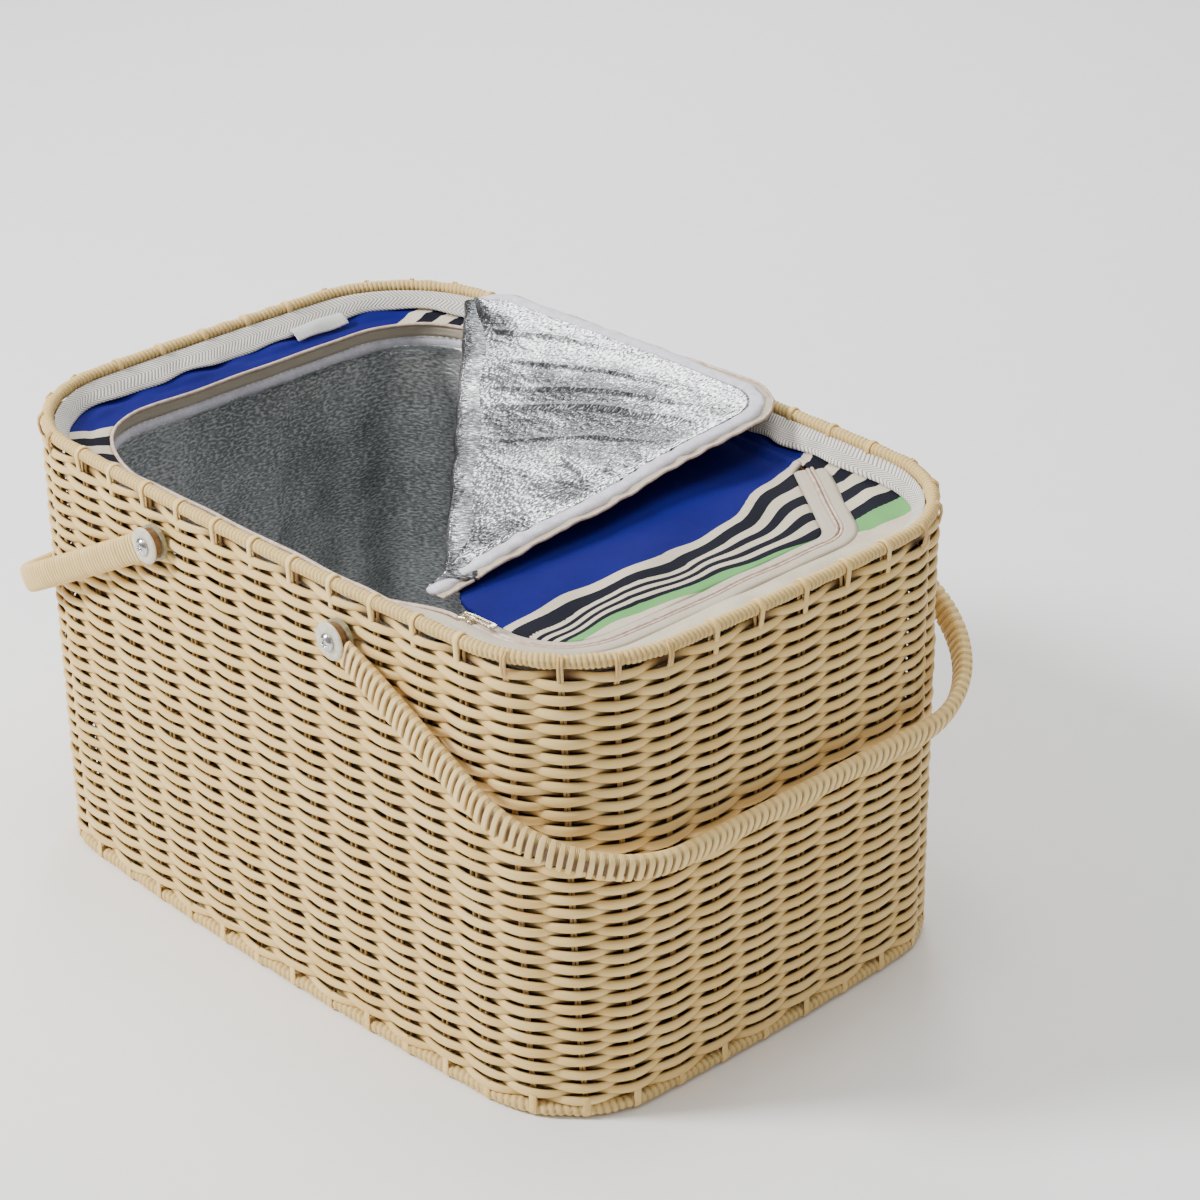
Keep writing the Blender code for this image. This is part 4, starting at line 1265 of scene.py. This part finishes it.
def make_slider(metal):
    """A domed slider with side flanges."""
    centre, half = middle_and_half("zip_slider")
    stations = np.linspace(-1, 1, 15)
    turns = round_turns(20)
    cos, sin = np.cos(turns), np.sin(turns)
    rows = []
    for t in stations:
        width = (0.62 + 0.38 * abs(t)) * (1 - max(0, abs(t) - 0.82) * 2.2)
        tall = 1 - 0.42 * abs(t) ** 3
        y = signed_power(cos, 0.5) * half[1] * width
        z = signed_power(sin, 0.6) * half[2] * tall
        rows.append(np.column_stack([np.full(len(turns), t * half[0]), y, z]) + centre)
    shape = Shape()
    shape.capped(np.array(rows), stations * 0.01, turns * 0.003)
    shape.make("zip_slider_body", [metal], "zip_slider", "zip_metal", "zip_slider")


def make_pull(metal):
    """The pull: a flat loop, narrower at one end."""
    centre, half = middle_and_half("zip_pull")
    turns = round_turns(48)
    cos, sin = np.cos(turns), np.sin(turns)
    narrow = 0.72 + 0.28 * np.clip(cos * 1.4, -1, 1)
    x = signed_power(cos, 0.45) * half[0]
    y = signed_power(sin, 0.6) * half[1] * narrow
    outer = np.column_stack([x, y])
    inner = outer * (0.72, 0.45) - (0.0012, 0)
    rings = []
    for share, lift in PULL_SECTION:
        ring = inner * (1 - share) + outer * share
        rings.append(np.column_stack([ring, np.full(len(turns), lift * half[2])]) + centre)
    shape = Shape()
    shape.grid(np.array(rings), True, True, along=np.arange(len(rings)) * 0.001, across=turns * 0.003)
    shape.make("zip_pull_tab", [metal], "zip_pull", "zip_metal", "zip_pull")


# ---------------------------------------------------------------- lid and flap


def crease_point(share, aside=0.0, lift=0.0):
    """A point along the crease, moved to its right in plan and upwards."""
    share = np.asarray(share, float)[..., None]
    far, near = np.array(CREASE_FAR), np.array(CREASE_NEAR)
    along = near - far
    right = np.array((-along[1], along[0], 0.0)) / math.hypot(along[0], along[1])
    return far + along * share + right * aside + UP * lift


def make_lid(cloth, foil):
    """The zipped right part of the lid, a soft panel from the crease out to the zip and far seam."""
    path, away, _ = zip_path(1500)
    inner = path - away * 0.0093
    seam_y = ZIP_CORNERS[0][1] + 0.0024
    part = (path[:, 0] > 0.121) & (inner[:, 1] < seam_y - 0.004)
    seam = np.array(((inner[part][-1, 0] - 0.002, seam_y), (CREASE_FAR.x + 0.016, seam_y)))
    rows, columns = 170, 90
    edge, _ = evenly(np.vstack([inner[part], seam]), rows, closed=False)
    foot = crease_point(np.linspace(0.965, 0.0, rows), 0.0085)[:, :2]
    foot[:, 1] = np.clip(foot[:, 1], edge[0, 1], seam_y)
    share = np.linspace(0, 1, columns)
    plan = blend_rows(foot, edge, share)
    x, y = plan[..., 0], plan[..., 1]
    edge_fall = unit(np.minimum(share, 1 - share) * 9) ** 0.5
    soft = 0.0009 * np.sin(x * 62 + 1.3 * np.sin(y * 40)) + 0.0008 * np.sin(y * 55 - x * 30 + 1)
    lumps = 0.0006 * np.sin(x * 150 + y * 90) * unit((x - 0.1) * 20)
    top = 0.2526 + edge_fall * (0.0014 + soft + lumps)
    top += 0.0022 * unit((y - 0.1290) / 0.005)
    shape = Shape()
    shape.grid(np.dstack([plan, top]), along=np.arange(rows) * 0.003, across=np.arange(columns) * 0.002)
    lid = shape.make("lid_panel_cloth", [cloth, foil], "lid_panel", "liner_fabric")
    cloth_marks(lid, plan)
    thicken(lid, 0.0032, -1.0, other=1)
    face_up(lid)


def face_up(obj):
    """Turns an open sheet over when most of its faces look down."""
    total = sum(p.normal.z * p.area for p in obj.data.polygons)
    if total < 0:
        obj.data.flip_normals()


def flap_frame():
    """Unit vectors along the crease and out of the shut flap's upper face."""
    along = (CREASE_NEAR - CREASE_FAR).normalized()
    reach = Vector(FLAP_CORNER) - CREASE_FAR
    across = (reach - reach.dot(along) * along).normalized()
    up = along.cross(across).normalized()
    return along, up if up.z > 0 else -up


def crease_direction():
    """The crease's direction in plan."""
    return np.array((CREASE_NEAR - CREASE_FAR).to_2d().normalized())


def on_flap(plan, lift):
    """Plan points put on the shut flap's plane, lifted off it, then folded back with the flap."""
    along, up = flap_frame()
    normal = np.array(up)
    far = np.array(CREASE_FAR)
    height = far[2] - ((plan[..., 0] - far[0]) * normal[0] + (plan[..., 1] - far[1]) * normal[1]) / normal[2]
    shut = np.dstack([plan, height]) + np.asarray(lift)[..., None] * normal
    turn = np.array(Matrix.Rotation(-FLAP_FOLD, 3, along))
    return far + (shut - far) @ turn.T


def flap_edge(inset, count):
    """Plan points of the shut flap's free edge, from the crease's far end to its near end."""
    line, _ = evenly(rounded(FLAP_CORNERS), 3000, closed=False)
    inner = line - normals_of(line, closed=False) * inset
    direction = crease_direction()
    from_far = line - np.array(CREASE_FAR.to_2d())
    right = direction[0] * from_far[:, 1] - direction[1] * from_far[:, 0]
    kept = inner[right < -0.005]
    return evenly(kept, count, closed=False)[0]


def flap_sag(count, size):
    """How far the free edge of the folded flap waves up and down along its length."""
    place = np.linspace(0, 1, count)
    wave = 0.6 * np.sin(place * 14 + 0.8) + 0.4 * np.sin(place * 31)
    wave = size * wave * unit((place - 0.35) * 4) * unit((1 - place) * 12)
    return wave - TIP_DROOP * np.exp(-(((place - 0.46) / 0.12) ** 2))


def ridge(x, y, start, end, height, width):
    """A narrow crease standing up between two points of the plan, fading at its ends."""
    ahead = np.array(end) - np.array(start)
    length = math.hypot(*ahead)
    ahead = ahead / length
    along = ((x - start[0]) * ahead[0] + (y - start[1]) * ahead[1]) / length
    aside = (x - start[0]) * ahead[1] - (y - start[1]) * ahead[0] + 0.002 * np.sin(along * 9)
    fade = unit(np.minimum(along, 1 - along) * 6)
    return height * fade * np.exp(-((aside / width) ** 2))


def make_flap(foil, cloth):
    """The unzipped part of the lid, folded back over the far rim with its foil side up."""
    count, columns = 200, 90
    edge = flap_edge(0.0192, count)
    crease = crease_point(0.03 + 0.90 * np.linspace(0, 1, count))[:, :2]
    along = crease_direction()
    crease += np.array((along[1], -along[0])) * 0.0042
    share = np.linspace(0, 1, columns)
    plan = blend_rows(crease, edge, share)
    sag = flap_sag(count, FLAP_WAVE)[:, None] * share**2
    x, y = plan[..., 0], plan[..., 1]
    ray = sum(ridge(x, y, *line) for line in WRINKLES)
    hollow = np.sin(math.pi * share) ** 0.8
    puff = 0.0016 * np.sin(math.pi * share**0.6) ** 2 + 0.0012 * np.sin(x * 48 - y * 33)
    lift = sag + (ray + puff) * hollow
    under = on_flap(plan, -lift * 0.5 + FLAP_HALF * 0.9)
    upper = on_flap(plan, -lift - FLAP_HALF)
    shape = Shape()
    for layer, points in enumerate((upper, under)):
        shape.grid(points, along=x, across=y, layer=layer)
    close_edges(shape, count, columns)
    panel = shape.make("flap_foil_panel", [foil, cloth], "flap_panel", "foil", "lid_flap")
    cloth_marks(panel, np.concatenate([plan.reshape(-1, 2)] * 2))


def close_edges(shape, rows, columns):
    """Joins two equal grids round their edges into one closed solid."""
    lap = list(range(columns))
    lap += [r * columns + columns - 1 for r in range(1, rows)]
    lap += [(rows - 1) * columns + c for c in range(columns - 2, -1, -1)]
    lap += [r * columns for r in range(rows - 2, 0, -1)]
    other = rows * columns
    for a, b in zip(lap, lap[1:] + lap[:1]):
        shape.face((a, b, b + other, a + other))


def flap_roll(shape, inset, size, sides, plump):
    """A soft roll along the flap's free edge, as an oval of (half width, half height)."""
    count = len(plump)
    middle = flap_edge(inset, count)
    away = normals_of(middle, closed=False)
    turns = round_turns(sides)
    shift = signed_power(np.cos(turns), 0.75)[None, :] * size[0] * plump[:, None]
    plan = middle[:, None, :] + away[:, None, :] * shift[..., None]
    lift = np.sin(turns)[None, :] * size[1] * plump[:, None] - flap_sag(count, FLAP_WAVE)[:, None]
    shape.capped(on_flap(plan, lift), np.arange(count) * 0.0012, turns * size[0])


def make_flap_binding(fleece):
    """The fleece roll round the flap's free edge."""
    count = 420
    plump = 1 + waves(np.arange(count), count * 2, 0.06, 70, 20)
    shape = Shape()
    flap_roll(shape, 0.0153, (0.0044, 0.0023), 16, plump)
    binding = shape.make("flap_binding_fleece", [fleece], "flap_binding", "fleece", "lid_flap")


def make_flap_tape(tape, teeth):
    """The zip half that came away with the flap, tucked under the binding over its first part."""
    count = 800
    index = np.arange(count)
    inner, outer = flap_edge(0.0118, count), flap_edge(0.0062, count)
    tucked = (1 - unit((np.linspace(0, 1, count) - 0.30) / 0.10))[:, None]
    outer = outer * (1 - 0.85 * tucked) + flap_edge(0.0112, count) * 0.85 * tucked
    shares = np.linspace(0, 1, 5)
    ripple = (waves(index, count * 2, 0.0003, 50, 12) - flap_sag(count, FLAP_WAVE))[:, None]
    points = on_flap(blend_rows(inner, outer, shares), ripple + 0.0003 * np.sin(math.pi * shares))
    shape = Shape()
    shape.grid(points, along=index * 0.0008, across=np.linspace(0, 0.0056, 5))
    half = shape.make("flap_zip_tape_cloth", [tape], "flap_zip_tape", "zip_tape", "lid_flap")
    thicken(half, ZIP_CLOTH)
    line = on_flap(outer[:, None, :], ripple)[:, 0]
    zip_coil("flap_zip_coil", line, FLAP_COIL_RADIUS, teeth, "lid_flap")


def make_crease(foil, cloth):
    """The soft fold between the zipped part and the folded flap, foil on its outer side."""
    count, bend = 90, 15
    along, up = flap_frame()
    share = np.linspace(0.035, 0.935, count)
    turn = Matrix.Rotation(-FLAP_FOLD, 3, along)
    lifted = -np.array(turn @ up)
    side = np.array(along.cross(Vector(lifted)))
    side *= 1 if side[0] + side[1] > 0 else -1
    foot = crease_point(share, 0.0087)
    foot[:, 2] = FOLD_FOOT
    spine = crease_point(share) + side * FOLD_SHIFT
    outer = []
    for k in range(bend):
        angle = math.radians(-100 + 190 * k / (bend - 1))
        away = -math.cos(angle) * side + math.sin(angle) * lifted
        outer.append(spine + away * FOLD_RADIUS)
    leg = [foot * (1 - t) + outer[0] * t for t in (0.0, 0.25, 0.5, 0.75)]
    tail = [outer[-1] + side * reach - lifted * dip for reach, dip in FOLD_TAIL]
    rows = np.array(leg + outer + tail)
    sway = waves(np.arange(count), count * 2, 0.0003, 20, 5)
    rows -= side[None, None, :] * sway[None, :, None]
    shape = Shape()
    shape.grid(rows, along=np.arange(len(rows)) * 0.002, across=np.arange(count) * 0.004)
    fold = shape.make("lid_crease_fold", [foil, cloth], None, "foil")
    cloth_marks(fold, rows[..., :2])
    thicken(fold, 0.0012, 0.0, 1)
    fold.parent = None
    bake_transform(fold)


def make_label(weave):
    """A blank woven tab held under the rim tape at the left end."""
    rows, columns = 12, 40
    low, high = box_corners("label_tab")
    length = np.linspace(low[1] + 0.0045, high[1] + 0.0055, columns)
    points = []
    for share in np.linspace(0, 1, rows):
        x = low[0] - 0.0030 + share * 0.0085
        bow = 0.0012 * math.sin(math.pi * share) + 0.0004 * np.sin(length * 210 + 2 * share)
        z = 0.2628 - 0.0052 * share + bow
        points.append(np.column_stack([np.full(columns, x), length, z]))
    shape = Shape()
    shape.grid(np.array(points), along=np.linspace(0, 0.0112, rows), across=length)
    tab = shape.make("label_tab_cloth", [weave], "label_tab", "label_cloth")
    thicken(tab, 0.0007)


# ---------------------------------------------------------------- pivots and base


def turned(profile, centre, direction, relief=None):
    """A solid turned about Y from (radius, depth) rows; depth is measured outwards."""
    turns = round_turns(64)
    rows = []
    for radius, depth in profile:
        x, z = radius * np.cos(turns), radius * np.sin(turns)
        y = np.full(len(turns), depth) if relief is None else depth - relief(x, z)
        rows.append(np.column_stack([x, y * direction, z]) + centre)
    shape = Shape()
    shape.capped(np.array(rows), np.arange(len(rows)) * 0.001, turns * 0.003)
    return shape


def cross_recess(x, z):
    """The depth of a cross-head recess at a place on a screw's head."""
    arm = np.minimum(np.abs(x), np.abs(z))
    reach = np.maximum(np.abs(x), np.abs(z))
    return 0.0016 * unit((0.0008 - arm) / 0.0003) * unit((0.0027 - reach) / 0.0005)


def depths(node):
    """How far a pivot piece's inner and outer ends lie from the middle of the basket."""
    return sorted(abs(corner[1]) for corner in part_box(node))


def screw_profile(inner, outer):
    """A screw as (radius, depth) rows: a low domed head, and a plain shank."""
    crown = [(r, outer - 0.0022 * (r / 0.005) ** 3) for r in np.linspace(0.0001, 0.0049, 16)]
    under = outer - 0.0029
    return crown + [(0.0050, outer - 0.0026), (0.0049, under), (0.0024, under), (0.0024, inner)]


def washer_profile(inner, outer):
    """A washer as (radius, depth) rows, with a rounded face."""
    face = [(0.0027, inner), (0.0027, outer - 0.0002), (0.0040, outer), (0.0084, outer)]
    edge = [(0.0098, outer - 0.0004), (0.0105, outer - 0.0009), (0.0105, inner + 0.0001), (0.0103, inner)]
    return face + edge


def make_pivots(metal, plastic):
    for end, sign_x in ENDS:
        for side, sign_y in SIDES:
            name = f"{end}_{side}"
            centre = np.array((sign_x * PIVOT_X, 0.0, PIVOT_Z))
            profile = screw_profile(*depths(f"pivot_bolt_{name}"))
            shape = turned(profile, centre, sign_y, cross_recess)
            shape.make(f"pivot_screw_{name}", [metal], f"pivot_bolt_{name}", "bolt_steel")
            profile = washer_profile(*depths(f"outer_washer_{name}"))
            shape = turned(profile, centre, sign_y)
            shape.make(f"washer_disc_{name}", [plastic], f"outer_washer_{name}", "washer_plastic")


def make_floor_weave(cane):
    """The woven floor: flat canes along X, in and out of straight, narrower ones along Y."""
    outline, _ = evenly(plan_at(BASE_HEIGHT), 2000)
    outline *= 1 - FLOOR_INSET / np.linalg.norm(outline, axis=1)[:, None]
    half_x, half_y = outline.max(axis=0)
    shape = Shape()
    for k, y in enumerate(np.arange(-half_y + 0.003, half_y - 0.002, FLOOR_PITCH)):
        reach = edge_reach(outline, y, 1)
        x = np.linspace(-reach, reach, 120)
        z = FLOOR_LEVEL + FLOOR_WAVE * np.cos(math.pi * (x / FLOOR_SPACING + k))
        path = np.column_stack([x, np.full(len(x), y), z])
        strap(shape, path, UP, FLOOR_WIDTHS[0], FLOOR_THICKNESS, k * 1.9)
    for k, x in enumerate(np.arange(-half_x + 0.010, half_x - 0.005, FLOOR_SPACING)):
        reach = edge_reach(outline, x, 0)
        y = np.linspace(-reach, reach, 30)
        path = np.column_stack([np.full(len(y), x), y, np.full(len(y), FLOOR_LEVEL)])
        strap(shape, path, UP, FLOOR_WIDTHS[1], FLOOR_THICKNESS, k * 2.3)
    shape.make("floor_cane", [cane], "base_panel", "cane")


def edge_reach(outline, place, axis):
    """How far the outline reaches from the middle along the other axis, at one place."""
    near = np.abs(outline[:, axis] - place) < 0.002
    return np.abs(outline[near, 1 - axis]).max() - 0.0005


def dress(nodes, surface):
    """Gives CAD nodes that stay in view a material of their own."""
    for name in nodes:
        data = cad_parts[name].data
        data.materials.clear()
        data.materials.append(surface)


# ---------------------------------------------------------------- camera, light, floor


def make_camera():
    cos, sin = math.cos(CAMERA_AZIMUTH), math.sin(CAMERA_AZIMUTH)
    flat = math.cos(CAMERA_ELEVATION)
    back = Vector((sin * flat, -cos * flat, math.sin(CAMERA_ELEVATION)))
    right = Vector((cos, sin, 0))
    up = back.cross(right)
    turn = Matrix((right, up, back)).transposed().to_4x4() @ Matrix.Rotation(CAMERA_ROLL, 4, "Z")
    data = bpy.data.cameras.new("camera")
    data.lens = CAMERA_LENS
    data.sensor_width = 36
    camera = bpy.data.objects.new("camera", data)
    camera.matrix_world = Matrix.Translation(Vector(CAMERA_PLACE)) @ turn
    bpy.context.scene.collection.objects.link(camera)
    bpy.context.scene.camera = camera


def area_light(name, place, target, size, power):
    data = bpy.data.lights.new(name, "AREA")
    data.shape = "DISK"
    data.size = size
    data.energy = power
    lamp = bpy.data.objects.new(name, data)
    lamp.location = place
    lamp.rotation_euler = (Vector(target) - Vector(place)).to_track_quat("-Z", "Y").to_euler()
    bpy.context.scene.collection.objects.link(lamp)


def make_stage():
    floor = Nodes("floor_paper")
    speck = floor.noise(floor.coordinates(), 40.0)
    floor.finish(floor.ramp(speck, ((0.0, (0.91, 0.91, 0.91)), (1.0, (0.95, 0.95, 0.95)))), 0.9)
    mesh = bpy.data.meshes.new("floor")
    mesh.from_pydata([(-9, -9, 0), (9, -9, 0), (9, 9, 0), (-9, 9, 0)], [], [(0, 1, 2, 3)])
    mesh.materials.append(floor.material)
    obj = bpy.data.objects.new("floor", mesh)
    bpy.context.scene.collection.objects.link(obj)
    obj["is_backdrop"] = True
    make_world()
    for light in LIGHTS:
        area_light(*light)


def make_world():
    """Soft studio walls: pale above, dimmer towards the horizon."""
    world = bpy.data.worlds.new("studio")
    world.use_nodes = True
    tree = world.node_tree
    where = tree.nodes.new("ShaderNodeTexCoord")
    split = tree.nodes.new("ShaderNodeSeparateXYZ")
    ramp = tree.nodes.new("ShaderNodeValToRGB")
    for element, (place, colour) in zip(ramp.color_ramp.elements, SKY):
        element.position = place
        element.color = (*colour, 1.0)
    tree.links.new(where.outputs["Generated"], split.inputs[0])
    tree.links.new(split.outputs[2], ramp.inputs[0])
    tree.links.new(ramp.outputs[0], tree.nodes["Background"].inputs["Color"])
    tree.nodes["Background"].inputs["Strength"].default_value = SKY_STRENGTH
    bpy.context.scene.world = world


# ---------------------------------------------------------------- build

make_camera()
make_stage()

cane = cane_material("cane", (0.89, 0.66, 0.285), (0.78, 0.52, 0.175))
handle_cane = cane_material("handle_cane", (0.90, 0.68, 0.31), (0.80, 0.56, 0.215))
wire = cane_material("frame_wire", (0.70, 0.50, 0.22), (0.60, 0.36, 0.11), 0.34)
printed = cloth_material("printed_canvas")
# Painted shade: the liner shell is dark brown to stand for the shade seen through the gaps of the weave.
painted_shade_shell = fleece_material("shell_painted_shade", (0.120, 0.065, 0.030), (0.060, 0.030, 0.014))
rim_tape = tape_material("rim_tape", (0.80, 0.77, 0.70), (0.24, 0.21, 0.19), 0.0024)
zip_tape = tape_material("zip_tape", (0.66, 0.58, 0.45), (0.50, 0.42, 0.31), 0.0009)
zip_teeth = plastic_material("zip_teeth", (0.66, 0.51, 0.40), (0.46, 0.33, 0.25))
label_weave = tape_material("label_cloth", (0.80, 0.80, 0.78), (0.62, 0.62, 0.60), 0.0008)
fleece = fleece_material("fleece", (0.80, 0.79, 0.86), (0.55, 0.53, 0.62))
# Flap foil: its very dark and pale tones paint the foil's reflections.
foil_flap = foil_material(
    "foil_flap", (0.50, 0.51, 0.53), (0.065, 0.069, 0.073), 0.20, FOIL_PAINTED_HIGHLIGHTS, (0.68, 0.95), 0.16, 0.9, 0.96
)
# Wall foil: painted glints on the dashes and painted shade in the pits.
foil_wall = foil_material(
    "foil_wall", (0.66, 0.68, 0.68), (0.42, 0.44, 0.44), 0.30, (), (0.62, 0.88), 0.80, 0.5, 0.82
)
foam = foam_material("foam")
steel = metal_material("bolt_steel", (0.70, 0.69, 0.67), (0.42, 0.41, 0.40), 0.15)
zip_metal = metal_material("zip_metal", (0.66, 0.58, 0.42), (0.42, 0.36, 0.26))
# Painted shade: the handle cores are dark brown to stand for the shade in the winding's open slots.
core_painted_shade = plastic_material("handle_core", (0.200, 0.100, 0.035), (0.120, 0.055, 0.018))
washer = plastic_material("washer_plastic", (0.66, 0.61, 0.48), (0.54, 0.49, 0.37))
olive = plastic_material("spacer_plastic", (0.36, 0.33, 0.21), (0.27, 0.25, 0.15))

make_weave(cane)
make_stakes(wire)
make_wound_ring("rim_cane", "rim_wrap", RIM_HEIGHT, RIM_RADIUS, RIM_WIND, cane)
make_wound_ring("base_cane", "base_wrap", BASE_HEIGHT, BASE_RADIUS, BASE_WIND, cane)
make_floor_weave(cane)
for end, sign_x in ENDS:
    make_wrap(end, sign_x, handle_cane)
make_pivots(steel, washer)
shell = padded_tub(
    "liner_shell_cloth", "liner_shell", 0.0011, 0.0098, TUB_TOP, painted_shade_shell, "liner_fabric", 0.0007, 0.0004
)
padded_foam = padded_tub(
    "liner_foam_sheet", "liner_foam", 0.0055, 0.0115, TUB_TOP, foam, "foam", 0.0038, 0.0008
)
make_foil_lining(foil_wall)
make_margin(printed)
make_rim_tape(rim_tape)
make_zip(zip_tape, zip_teeth)
make_opening_binding(fleece)
make_opening_stitches(zip_tape)
make_slider(zip_metal)
make_pull(zip_metal)
make_lid(printed, foil_wall)
make_flap(foil_flap, printed)
make_flap_binding(fleece)
make_flap_tape(zip_tape, zip_teeth)
make_crease(foil_flap, printed)
make_label(label_weave)

corners = [f"{end}_{side}" for end, _ in ENDS for side, _ in SIDES]
dress([f"backing_washer_{c}" for c in corners] + [f"lock_nut_{c}" for c in corners], steel)
dress([f"spacer_washer_{c}" for c in corners], olive)
dress(["handle_left_core", "handle_right_core"], core_painted_shade)

boxes = {"cad": cad_box, "visual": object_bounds()}
{name: [list(corner) for corner in box] for name, box in boxes.items()}
